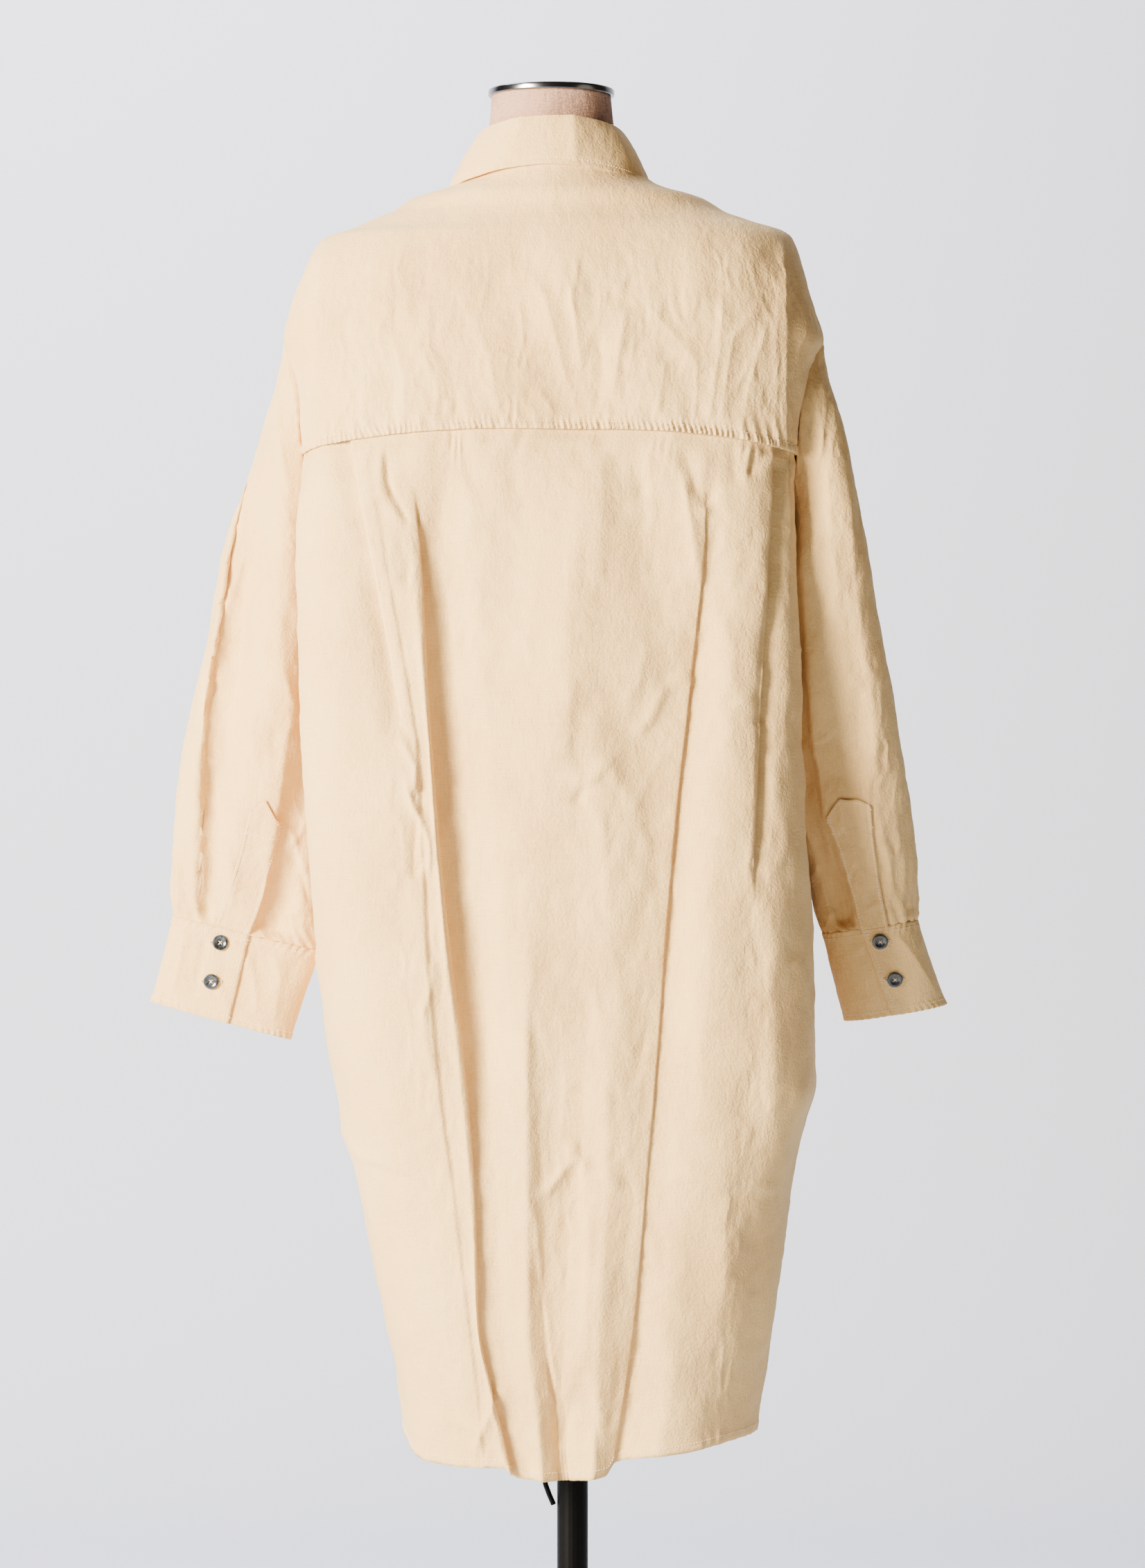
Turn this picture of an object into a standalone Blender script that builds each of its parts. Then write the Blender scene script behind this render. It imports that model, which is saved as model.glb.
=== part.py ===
"""A shirt dress of thin cotton worn by a limbless dress form on a pole and a round base.

Metres, +Z up, the floor is z = 0 and the pole stands on the origin. The wearer's front faces -Y
and the wearer's left is +X. The form leans a little to its left, as it stands on its pole.
Every panel of cloth is a patch of one draped surface: an open grid with a Solidify wall inside it.
Around the body an angle of 0 is the wearer's left side and a quarter turn is the centre back.
Around a sleeve an angle of 0 is its outer edge and a quarter turn is its back.
"""

import math

import bmesh
import bpy
import numpy as np
from mathutils import Matrix

# ---- driving dimensions ----
WALL = 0.0012            # cloth with its turnings, modelled as one wall
SEAM = 0.0004            # between two panels along a seam
LAYER = 0.0004           # between a panel and what is sewn on it
REST = 0.0015            # cloth's outer face beyond the form, where the cloth lies on it
FRONT_REST = 0.0045      # the same at the chest, where the two fronts lie on each other
QUARTER = math.pi / 2
POLE_RADIUS = 0.0127
BASE_RADIUS = 0.180
BASE_THICKNESS = 0.014
CLAMP_WALL = 0.006
CLAMP_BOTTOM = 0.352
CLAMP_TOP = 0.376
LEVER_RADIUS = 0.0022
LEVER_END = (0.0155, 0.309)         # x and z of its lower end
LEVER_BOW = 0.006
CAP_RADIUS = 0.0518
CAP_THICKNESS = 0.0125
CAP_NECK_RADIUS = 0.047  # under its rim
BUTTON_RADIUS = 0.0064
BUTTON_THICKNESS = 0.0024

# The form: level sections, as half widths and depths, how square each is, and its middle in x.
FORM_SIDES = 26
FORM_COLUMNS = ("height", "half_width", "back", "front", "squareness", "middle")
FORM = (
    (0.700, 0.140, 0.090, 0.088, 2.3, 0.000),
    (0.780, 0.153, 0.099, 0.096, 2.4, 0.002),
    (0.870, 0.146, 0.094, 0.092, 2.3, 0.004),
    (0.980, 0.117, 0.078, 0.082, 2.2, 0.006),
    (1.080, 0.130, 0.086, 0.104, 2.2, 0.007),
    (1.150, 0.144, 0.094, 0.121, 2.3, 0.008),
    (1.220, 0.160, 0.099, 0.113, 2.4, 0.009),
    (1.280, 0.178, 0.096, 0.092, 2.4, 0.009),
    (1.318, 0.188, 0.091, 0.078, 2.4, 0.010),
    (1.332, 0.187, 0.087, 0.072, 2.3, 0.010),
    (1.342, 0.182, 0.084, 0.068, 2.2, 0.010),
    (1.350, 0.173, 0.081, 0.065, 2.1, 0.010),
    (1.3585, 0.156, 0.078, 0.063, 2.0, 0.0105),
    (1.3665, 0.1355, 0.075, 0.061, 2.0, 0.011),
    (1.373, 0.1185, 0.072, 0.0595, 2.0, 0.012),
    (1.3805, 0.0895, 0.067, 0.058, 2.0, 0.0135),
    (1.386, 0.0770, 0.064, 0.0565, 2.0, 0.0140),
    (1.393, 0.0695, 0.061, 0.056, 2.0, 0.0150),
    (1.401, 0.0635, 0.059, 0.055, 2.0, 0.0155),
    (1.412, 0.057, 0.056, 0.053, 2.0, 0.016),
    (1.436, 0.0515, 0.0515, 0.0510, 2.0, 0.0170),
    (1.4625, 0.0490, 0.0490, 0.0490, 2.0, 0.0174),
)

# The dress below the shoulders: its two sides as seen from behind, its depths and squareness.
DRESS_COLUMNS = ("height", "left", "right", "back", "front", "squareness")
DRESS = (
    (0.320, 0.127, -0.142, 0.108, 0.122, 2.2),
    (0.372, 0.136, -0.149, 0.111, 0.125, 2.3),
    (0.450, 0.150, -0.161, 0.120, 0.129, 2.5),
    (0.514, 0.163, -0.170, 0.127, 0.132, 2.7),
    (0.578, 0.176, -0.179, 0.132, 0.134, 2.9),
    (0.624, 0.187, -0.188, 0.136, 0.135, 3.0),
    (0.656, 0.193, -0.197, 0.138, 0.136, 3.1),
    (0.707, 0.201, -0.198, 0.140, 0.136, 3.2),
    (0.771, 0.210, -0.197, 0.141, 0.136, 3.3),
    (0.836, 0.215, -0.195, 0.140, 0.136, 3.4),
    (0.900, 0.221, -0.193, 0.138, 0.136, 3.4),
    (1.009, 0.227, -0.189, 0.132, 0.136, 3.4),
    (1.093, 0.229, -0.185, 0.125, 0.135, 3.4),
    (1.140, 0.226, -0.184, 0.120, 0.133, 3.3),
    (1.168, 0.224, -0.186, 0.117, 0.131, 3.1),
    (1.215, 0.226, -0.192, 0.112, 0.124, 2.8),
    (1.248, 0.2320, -0.2000, 0.109, 0.115, 2.6),
    (1.262, 0.2363, -0.2061, 0.108, 0.110, 2.4),
    (1.286, 0.2311, -0.1996, 0.106, 0.101, 2.3),
    (1.305, 0.2247, -0.1938, 0.102, 0.092, 2.3),
    (1.324, 0.2177, -0.1881, 0.097, 0.084, 2.3),
    (1.346, 0.2050, -0.1805, 0.088, 0.072, 2.2),
)
FORM_TAKES_OVER = (1.328, 1.347)    # heights between which the cloth comes to rest on the form

# Where the sleeves hang against the dress its sides give way, by these depths.
DENT_COLUMNS = ("height", "left", "right")
DENTS = (
    (0.760, 0.000, 0.000),
    (0.800, 0.012, 0.002),
    (0.860, 0.022, 0.018),
    (0.950, 0.026, 0.024),
    (1.040, 0.028, 0.022),
    (1.100, 0.026, 0.016),
    (1.140, 0.018, 0.009),
    (1.190, 0.000, 0.000),
)
DENT_MIDDLE = -0.005     # y of the sleeves' middle
DENT_REACH = 0.070

# Armholes, seen from the side: an upright oval about this height.
ARMHOLE_HEIGHT = 1.187
ARMHOLE_HALF_HEIGHT = 0.075
ARMHOLE_HALF_DEPTH = 0.058
ARMHOLE_TOP = ARMHOLE_HEIGHT + ARMHOLE_HALF_HEIGHT
ARMPIT = ARMHOLE_HEIGHT - ARMHOLE_HALF_HEIGHT
SLEEVE_COLUMNS = 16      # around a sleeve; the armhole's corners fall on the same points
SEAM_BORDER = 0.011      # the first column inside a panel's side edge

# Hem, yoke seam and neckline.
HEM_BACK = 0.342
HEM_FRONT = 0.350
HEM_SIDE = 0.378
YOKE_SEAM_CENTRE = 1.183
YOKE_SEAM_DROP = 0.015
NECKLINE_BACK = 1.3985
NECKLINE_FRONT = 1.3500
SHOULDER_SEAM = -0.026   # y of the yoke's front edge, ahead of the top of the shoulder
SHOULDER_TURN = 1.335    # height where the cloth turns from the arm to the top of the shoulder
NECKLINE_DROP_START = 1.25          # height at the side from which the rows drop to the front's neckline

# Long folds: where each runs at three heights, and how deep it is there. A positive depth
# sinks and a negative one stands out. Reaches are to the wearer's left and right.
FOLD_HEIGHTS = (0.36, 0.79, 1.15)
FOLD_COLUMNS = (
    "x_low", "x_mid", "x_top", "depth_low", "depth_mid", "depth_top", "reach_left", "reach_right")
BACK_FOLDS = {
    "left_valley": (0.045, 0.101, 0.128, 0.034, 0.040, 0.008, 0.012, 0.055),
    "right_valley": (-0.031, -0.0765, -0.109, 0.030, 0.034, 0.006, 0.050, 0.020),
    "left_bulge": (0.085, 0.145, 0.165, -0.008, -0.012, 0.000, 0.045, 0.045),
    "right_bulge": (-0.085, -0.120, -0.150, -0.006, -0.010, 0.000, 0.045, 0.045),
    "centre_lobe": (0.006, 0.012, 0.010, -0.030, -0.008, 0.000, 0.046, 0.042),
    "centre_crease": (-0.010, -0.012, -0.020, 0.003, 0.004, 0.002, 0.018, 0.022),
}
FRONT_FOLDS = {
    "left_front_fold": (0.084, 0.100, 0.090, 0.026, 0.018, 0.000, 0.030, 0.034),
    "right_front_fold": (-0.078, -0.088, -0.075, 0.026, 0.020, 0.000, 0.034, 0.030),
    "left_front_swell": (0.045, 0.058, 0.060, -0.012, -0.006, 0.000, 0.030, 0.030),
    "right_front_swell": (-0.045, -0.050, -0.045, -0.012, -0.006, 0.000, 0.030, 0.030),
}
FOLDS_START = (1.130, 1.185)        # heights over which folds fade out towards the yoke

# Pleats of the back, folded outwards under the yoke: x of the fold's edge at its top and its end.
PLEAT_COLUMNS = ("x_top", "x_end", "z_end", "underlay")
PLEATS = {"left_pleat": (0.176, 0.134, 0.93, 0.016), "right_pleat": (-0.163, -0.145, 0.84, 0.016)}
PLEAT_TOP = 1.168
PLEAT_OPENS = 0.75       # share of its length down to which a pleat stays folded
PLEAT_NARROWS = 0.45     # its underlay's width at its end, as a share
PLEAT_UNDER = 0.0016     # outer face to outer face, one layer down
PLEAT_FAR = 0.0034       # the same, two layers down

# Sleeves: each ring's inner and outer ends in x and z, its middle and half depth in y.
RING_COLUMNS = ("x_in", "z_in", "x_out", "z_out", "y_mid", "half_depth", "squareness")
SLEEVE_RINGS = {
    "left": (
        (0.2085, 1.088, 0.2485, 1.218, 0.000, 0.0570, 2.2),
        (0.2095, 1.055, 0.2665, 1.156, -0.002, 0.0590, 2.2),
        (0.2095, 1.010, 0.2833, 1.098, -0.004, 0.0580, 2.2),
        (0.2095, 0.960, 0.2968, 1.030, -0.007, 0.0550, 2.2),
        (0.2080, 0.910, 0.3092, 0.972, -0.010, 0.0500, 2.2),
        (0.2060, 0.865, 0.3182, 0.915, -0.013, 0.0430, 2.2),
        (0.2055, 0.822, 0.3247, 0.858, -0.016, 0.0350, 2.2),
        (0.2078, 0.788, 0.3283, 0.818, -0.018, 0.0260, 2.3),
        (0.2096, 0.7634, 0.3284, 0.7918, -0.019, 0.0190, 2.4),
    ),
    "right": (
        (-0.1750, 1.088, -0.2165, 1.218, 0.000, 0.0570, 2.2),
        (-0.1735, 1.050, -0.2295, 1.148, -0.003, 0.0590, 2.2),
        (-0.1730, 1.005, -0.2415, 1.085, -0.006, 0.0590, 2.2),
        (-0.1730, 0.958, -0.2535, 1.015, -0.010, 0.0580, 2.2),
        (-0.1740, 0.915, -0.2633, 0.958, -0.014, 0.0555, 2.2),
        (-0.1790, 0.875, -0.2718, 0.904, -0.018, 0.0520, 2.2),
        (-0.1885, 0.838, -0.2778, 0.858, -0.021, 0.0470, 2.2),
        (-0.1988, 0.803, -0.2812, 0.817, -0.024, 0.0430, 2.2),
        (-0.2069, 0.7773, -0.2827, 0.7884, -0.026, 0.0400, 2.2),
    ),
}
CUFF_RINGS = {
    "left": (
        SLEEVE_RINGS["left"][-1],
        (0.2337, 0.6900, 0.3479, 0.7209, -0.023, 0.0200, 2.4),
    ),
    "right": (
        SLEEVE_RINGS["right"][-1],
        (-0.2252, 0.7043, -0.3085, 0.7176, -0.040, 0.0370, 2.2),
    ),
}
# Where each lap and placket runs on the back of the sleeve, from -1 inner edge to 1 outer edge.
LAP_COLUMNS = ("lap_low", "lap_cuff", "lap_top", "outer_cuff", "outer_top")
LAPS = {"left": (-0.10, -0.04, -0.37, 0.34, 0.00), "right": (-0.10, -0.22, -0.30, 0.28, 0.17)}
PLACKET_LENGTH = 3.05    # in rings, up from the cuff
PLACKET_POINT = 0.30     # in rings, the height of its point
PLACKET_FOOT = 0.04      # where it starts, as a share of its length
CUFF_UNDERLAP = 0.35     # how far the covered end runs on under the lap, on the same scale
CUFF_DIVE = (0.55, 0.15)            # angles before the lap over which the covered end goes in
CUFF_INSET_SHARE = 0.15  # how much of the way in is along x and z
CUFF_LAST = 0.12         # angle before the lap from which the covered end runs on
CUFF_BUTTONS = (0.16, 0.60)         # down the cuff, from its top edge to its bottom edge
BUTTON_FROM_LAP = 0.26
CUFF_SEAM = 0.015        # in rings, how far the sleeve stops short of the cuff
SLEEVE_FOLDS_START = (0.12, 0.37)   # shares of the sleeve's length over which its folds deepen
SLEEVE_FOLDS_END = 0.10             # and over which they close at the cuff
SLEEVE_FOLD_COLUMNS = ("across_top", "across_cuff", "depth", "reach_out", "reach_in")
SLEEVE_FOLDS = {
    "left": ((0.40, 0.58, 0.007, 0.06, 0.50), (-0.62, -0.30, 0.006, 0.20, 0.50)),
    "right": ((0.55, 0.78, 0.006, 0.22, 0.08), (-0.55, -0.50, 0.010, 0.22, 0.45)),
}

# Collar: the fold at its top, and its outer edge, as loops around the neck.
COLLAR_COLUMNS = ("middle", "half_width", "back", "front", "height_back", "height_side", "height_front")
COLLAR_FOLD = (0.0235, 0.0630, 0.0590, 0.0650, 1.4460, 1.4345, 1.3790)
COLLAR_EDGE = (0.0185, 0.0845, 0.0720, 0.0970, 1.4000, 1.3885, None)
EDGE_CLEAR = 0.0035      # the edge's height above the chest and the shoulders
COLLAR_OPENING = math.radians(5)    # half the gap between the collar's ends at the front
POINT_SLANT = math.radians(24)      # how far the collar's points stand back from its opening
STAND_LAP = math.radians(14)

# Front edges: the right front laps over the left.
FRONT_LAP = 0.016
FRONT_STEP = 0.0018      # how far the left front lies in under the right one
FRONT_STEP_RUN = (0.002, 0.016)     # beyond the right front's edge, where it comes out again
CENTRE_LEANS = (0.60, 0.90)         # heights over which the middle leans with the form
BAND_WIDTH = 0.032
BAND_COLUMNS = 3         # columns of the right front that carry the band
FRONT_BUTTONS = 9
FRONT_BUTTON_TOP = 1.315
FRONT_BUTTON_STEP = 0.098

MATERIALS = {
    "cotton": ((0.83, 0.72, 0.55, 1.0), 0.85, 0.0),
    "linen": ((0.62, 0.46, 0.37, 1.0), 0.90, 0.0),
    "shell": ((0.16, 0.18, 0.19, 1.0), 0.25, 0.0),
    "chrome": ((0.62, 0.63, 0.65, 1.0), 0.15, 1.0),
    "black_steel": ((0.014, 0.014, 0.014, 1.0), 0.40, 0.0),
}


# ---- curves and tables ----
def smooth_curve(xs, ys, x):
    """A smooth curve through the rows that never overshoots them."""
    xs, ys = np.asarray(xs, float), np.asarray(ys, float)
    step = np.diff(xs)
    slope = np.diff(ys) / step
    tangent = np.zeros_like(ys)
    same = slope[:-1] * slope[1:] > 0
    tangent[1:-1][same] = 2 * (slope[:-1] * slope[1:])[same] / (slope[:-1] + slope[1:])[same]
    tangent[0], tangent[-1] = slope[0], slope[-1]
    x = min(max(x, xs[0]), xs[-1])
    i = min(int(np.searchsorted(xs, x, side="right")) - 1, len(xs) - 2)
    t = (x - xs[i]) / step[i]
    bend = step[i] * (t * (1 - t) ** 2 * tangent[i] - t * t * (1 - t) * tangent[i + 1])
    return float(ys[i] + (ys[i + 1] - ys[i]) * t * t * (3 - 2 * t) + bend)


def look_up(rows, columns, at):
    """The named columns of a table at one value of its first column."""
    keys = [row[0] for row in rows]
    return {name: smooth_curve(keys, [row[i] for row in rows], at) for i, name in enumerate(columns) if i}


def ease(t):
    t = min(max(t, 0.0), 1.0)
    return t * t * (3 - 2 * t)


def lerp(a, b, t):
    return a + (b - a) * t


def power(value, exponent):
    return math.copysign(abs(value) ** exponent, value)


def spread(values, counts):
    """Stations between each pair of values, each pair split into its own count."""
    out = [values[0]]
    for a, b, count in zip(values, values[1:], counts):
        out += [lerp(a, b, (i + 1) / count) for i in range(count)]
    return out


# ---- the draped surface of the body ----
def form_section(height):
    row = look_up(FORM, FORM_COLUMNS, height)
    row["left"] = row["middle"] + row["half_width"]
    row["right"] = row["middle"] - row["half_width"]
    return row


def dress_section(height):
    """The cloth's own section, or above the shoulders the form's section grown by the cloth."""
    below = look_up(DRESS, DRESS_COLUMNS, height)
    form = form_section(height - REST)
    above = {"left": form["left"] + REST, "right": form["right"] - REST, "back": form["back"] + REST,
             "front": form["front"] + FRONT_REST, "squareness": form["squareness"]}
    start, end = FORM_TAKES_OVER
    share = ease((height - start) / (end - start))
    return {name: lerp(below[name], above[name], share) for name in above}


def on_section(section, angle):
    middle = (section["left"] + section["right"]) / 2
    half_width = (section["left"] - section["right"]) / 2
    depth = section["back"] if math.sin(angle) >= 0 else section["front"]
    exponent = 2 / section["squareness"]
    return middle + half_width * power(math.cos(angle), exponent), depth * power(math.sin(angle), exponent)


def angle_at_x(section, x):
    """The angle, from 0 to half a turn, whose point on the back has this x."""
    middle = (section["left"] + section["right"]) / 2
    half_width = (section["left"] - section["right"]) / 2
    share = min(max((x - middle) / half_width, -1.0), 1.0)
    return math.acos(power(share, section["squareness"] / 2))


def angle_at_y(section, y, left):
    """The angle at the wearer's left or right end of the section whose point has this y."""
    depth = section["back"] if y >= 0 else section["front"]
    turn = math.asin(power(min(max(y / depth, -1.0), 1.0), section["squareness"] / 2))
    return turn if left else math.pi - turn


def bell(distance, reach):
    """A soft trough: 1 at its line, 0 past its reach."""
    share = min(abs(distance) / reach, 1.0)
    return (1 - share * share) ** 2


def fold_at(values, height):
    row = dict(zip(FOLD_COLUMNS, values))
    line = smooth_curve(FOLD_HEIGHTS, (row["x_low"], row["x_mid"], row["x_top"]), height)
    depth = smooth_curve(FOLD_HEIGHTS, (row["depth_low"], row["depth_mid"], row["depth_top"]), height)
    low, high = FOLDS_START
    return line, depth * ease((high - height) / (high - low)), row["reach_left"], row["reach_right"]


def fold_relief(folds, x, height):
    total = 0.0
    for values in folds.values():
        line, depth, reach_left, reach_right = fold_at(values, height)
        total += depth * bell(x - line, reach_left if x > line else reach_right)
    return total


def sleeve_dent(left, y, height):
    """How far the body's side gives way to the sleeve that hangs against it."""
    depth = look_up(DENTS, DENT_COLUMNS, height)["left" if left else "right"]
    return depth * math.exp(-(abs(y - DENT_MIDDLE) / DENT_REACH) ** 4)


def cloth_point(angle, height, sink=0.0):
    """A point of the dress's outer face. Sink moves it in, towards the form."""
    section = dress_section(height)
    x, y = on_section(section, angle)
    level = abs(math.sin(angle)) ** 1.5
    if height < FOLDS_START[1]:
        folds = BACK_FOLDS if y >= 0 else FRONT_FOLDS
        y -= math.copysign(fold_relief(folds, x, height) * level + sink, y)
        side = math.copysign(1.0, math.cos(angle))
        x -= side * sleeve_dent(side > 0, y, height) * (1 - level)
    else:
        y -= math.copysign(sink, y)
    return np.array((x, y, height))


# ---- seams of the body ----
def armhole_half_depth(height):
    share = (height - ARMHOLE_HEIGHT) / ARMHOLE_HALF_HEIGHT
    return ARMHOLE_HALF_DEPTH * math.sqrt(max(1 - share * share, 0.0))


def side_edge(height, left, back, inside=0.0):
    """The angle where a panel ends at the side: side seam, then armhole, then shoulder seam."""
    if height >= ARMHOLE_TOP:
        y = SHOULDER_SEAM * ease((height - ARMHOLE_TOP) / (SHOULDER_TURN - ARMHOLE_TOP))
    else:
        y = armhole_half_depth(height) * (1 if back else -1)
    y += (SEAM / 2 + inside) * (1 if back else -1)
    return angle_at_y(dress_section(height), y, left)


def hem_height(angle):
    """The shirt-tail hem: low at the front and back, higher at the side seams."""
    low = HEM_BACK if math.sin(angle) >= 0 else HEM_FRONT
    return lerp(low, HEM_SIDE, abs(math.cos(angle)) ** 3)


def yoke_seam(angle):
    return YOKE_SEAM_CENTRE - YOKE_SEAM_DROP * abs(math.cos(angle)) ** 1.6


def neckline(angle):
    if math.sin(angle) >= 0:
        return NECKLINE_BACK
    return lerp(NECKLINE_BACK, NECKLINE_FRONT, 1 - abs(math.cos(angle)))


def resting_height(x, y):
    """The height of the cloth over the shoulders and chest at a point of the plan."""
    low, high = 1.20, 1.42
    while high - low > 0.00005:
        height = (low + high) / 2
        section = dress_section(height)
        across = (x - (section["left"] + section["right"]) / 2) * 2 / (section["left"] - section["right"])
        depth = y / (section["back"] if y >= 0 else section["front"])
        outside = abs(across) ** section["squareness"] + abs(depth) ** section["squareness"] > 1
        low, high = (low, height) if outside else (height, high)
    return low


# ---- making solids ----
def new_object(name, data, material):
    thing = bpy.data.objects.new(name, data)
    data.materials.append(bpy.data.materials[material])
    bpy.data.collections["shirt_dress_on_form"].objects.link(thing)
    return thing


def grid_mesh(name, grid, closed=False):
    """A mesh of quads on rows of points that go up, with columns that go to the left turn."""
    rows, columns = len(grid), len(grid[0])
    wrap = columns if closed else columns - 1
    faces = [
        (r * columns + c, r * columns + (c + 1) % columns,
         (r + 1) * columns + (c + 1) % columns, (r + 1) * columns + c)
        for r in range(rows - 1)
        for c in range(wrap)
    ]
    mesh = bpy.data.meshes.new(name)
    mesh.from_pydata([tuple(p) for row in grid for p in row], [], faces)
    mesh.validate()
    return mesh


def cloth(name, grid, closed=False, wall=WALL):
    """A wall of cloth whose outer face is the grid."""
    mesh = grid_mesh(name, grid, closed)
    thing = new_object(name, mesh, "cotton")
    thickness = thing.modifiers.new("Wall", "SOLIDIFY")
    thickness.thickness = wall
    thickness.offset = -1.0
    mesh.shade_smooth()
    return thing


def turned(name, profile, material, steps=48):
    """A solid of revolution: a profile of (radius, height) pairs, from the top to the bottom."""
    mesh = bpy.data.meshes.new(name)
    points = [(radius, 0.0, height) for radius, height in profile]
    mesh.from_pydata(points, [(i, i + 1) for i in range(len(points) - 1)], [])
    thing = new_object(name, mesh, material)
    screw = thing.modifiers.new("Turn", "SCREW")
    screw.steps = steps
    screw.render_steps = steps
    screw.use_merge_vertices = True
    screw.merge_threshold = 0.00001
    return thing


# ---- body panels ----
def armhole_heights():
    """Heights of the armhole's corners, from the armpit up."""
    half_turn = SLEEVE_COLUMNS // 2
    turns = [math.pi * k / half_turn for k in range(half_turn + 1)]
    return [ARMHOLE_HEIGHT - ARMHOLE_HALF_HEIGHT * math.cos(turn) for turn in turns]


def skirt_heights():
    """Heights of the body's rows at its side seams, from the hem to the armpit."""
    return spread((HEM_SIDE, HEM_SIDE + 0.05, ARMPIT), (1, 10))


def pleat_stations(name, height):
    """x and sink of the columns through a pleat, from its centre side outwards."""
    row = dict(zip(PLEAT_COLUMNS, PLEATS[name]))
    outwards = 1 if row["x_top"] > 0 else -1
    share = (PLEAT_TOP - height) / (PLEAT_TOP - row["z_end"])
    edge = lerp(row["x_top"], row["x_end"], min(share, 1.0)) * outwards
    if share > 1:
        side = "left" if outwards > 0 else "right"
        edge *= dress_section(height)[side] / dress_section(row["z_end"])[side]
    opened = ease((share - PLEAT_OPENS) / (1 - PLEAT_OPENS))
    under = row["underlay"] * lerp(1.0, PLEAT_NARROWS, min(max(share, 0.0), 1.0))
    # The turn at each fold is half as wide as the wall is thick.
    turn = WALL / 2
    folded = (
        (-0.0100, 0.0), (-2 * turn, 0.0), (0.0, PLEAT_UNDER / 2), (-2 * turn, PLEAT_UNDER),
        (-under, PLEAT_UNDER), (-under - turn, (PLEAT_UNDER + PLEAT_FAR) / 2), (-under, PLEAT_FAR),
        (0.0030, PLEAT_FAR), (0.0090, PLEAT_FAR * 0.4),
    )
    flat = spread((folded[0][0], folded[-1][0]), (len(folded) - 1,))
    return [(outwards * (edge + lerp(x, open_x, opened)), sink * (1 - opened))
            for (x, sink), open_x in zip(folded, flat)]


def back_stations(height, side_height):
    """Angle and sink of every column of the back panel: pleats, valleys and what lies between."""
    section = dress_section(height)
    left_pleat = pleat_stations("left_pleat", height)[::-1]
    right_pleat = pleat_stations("right_pleat", height)
    left_line = fold_at(BACK_FOLDS["left_valley"], height)[0]
    right_line = fold_at(BACK_FOLDS["right_valley"], height)[0]
    start, near_start = side_edge(side_height, True, True), side_edge(side_height, True, True, SEAM_BORDER)
    end, near_end = side_edge(side_height, False, True), side_edge(side_height, False, True, SEAM_BORDER)
    left_out = angle_at_x(section, left_pleat[0][0])
    right_out = angle_at_x(section, right_pleat[-1][0])
    inner = left_pleat[-1][0] - 0.004
    lip = min(left_line + 0.013, inner - 0.003)
    middle = spread(
        (inner, lip, left_line + 0.004, left_line - 0.006, right_line + 0.006, right_line - 0.012,
         right_pleat[0][0] + 0.006),
        (2, 1, 1, 10, 1, 3))
    stations = [(angle, 0.0) for angle in [start] + spread((near_start, left_out), (4,))[:-1]]
    stations += [(angle_at_x(section, x), sink) for x, sink in left_pleat]
    stations += [(angle_at_x(section, x), 0.0) for x in middle]
    stations += [(angle_at_x(section, x), sink) for x, sink in right_pleat]
    stations += [(angle, 0.0) for angle in spread((right_out, near_end), (4,))[1:] + [end]]
    return stations


def back_panel():
    """Rows from the hem to the yoke seam, columns from the wearer's left to the right."""
    seam_side = YOKE_SEAM_CENTRE - YOKE_SEAM_DROP
    sides = skirt_heights() + [z for z in armhole_heights() if ARMPIT < z < seam_side]
    sides.append(seam_side - SEAM / 2)
    grid = []
    for side_height in sides:
        share = (side_height - HEM_SIDE) / (sides[-1] - HEM_SIDE)
        stations = back_stations(lerp(HEM_BACK, YOKE_SEAM_CENTRE, share), side_height)
        row = []
        for angle, sink in stations:
            height = lerp(hem_height(angle), yoke_seam(angle) - SEAM / 2, share)
            row.append(cloth_point(angle, height, sink))
        row[0] = cloth_point(stations[0][0], side_height)
        row[-1] = cloth_point(stations[-1][0], side_height)
        grid.append(row)
    return cloth("back_panel", grid)


def shoulder_heights():
    """Heights of the rows at the shoulder's side, from the top of the armhole to the neckline."""
    on_form = [row[0] + REST for row in FORM if SHOULDER_TURN < row[0] < NECKLINE_BACK - 0.01]
    return spread((ARMHOLE_TOP, 1.318, 1.334), (2, 1))[1:] + on_form + [NECKLINE_BACK]


def yoke_grid():
    """Rows from the back seam up over the shoulders to the neckline."""
    lowest = YOKE_SEAM_CENTRE - YOKE_SEAM_DROP + SEAM / 2
    sides = [lowest] + [z for z in armhole_heights() if z > lowest] + shoulder_heights()
    grid = []
    for side_height in sides:
        start, end = side_edge(side_height, True, True), side_edge(side_height, False, True)
        lift = max((ARMHOLE_TOP - side_height) / (ARMHOLE_TOP - lowest), 0.0)
        row = []
        near_start, near_end = (side_edge(side_height, left, True, SEAM_BORDER) for left in (True, False))
        for angle in [start] + spread((near_start, near_end), (24,)) + [end]:
            height = side_height + (yoke_seam(angle) + SEAM / 2 - lowest) * lift
            if side_height == NECKLINE_BACK:
                height = neckline(angle)
            row.append(cloth_point(angle, height))
        row[0], row[-1] = (cloth_point(angle, row[c][2] if lift == 0 else side_height)
                           for angle, c in ((start, 0), (end, -1)))
        grid.append(row)
    return grid


def front_centre(height):
    """x of the fronts' middle: over the pole at the hem, over the form's middle from the waist up."""
    low, high = CENTRE_LEANS
    return form_section(height)["middle"] * ease((height - low) / (high - low))


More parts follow.
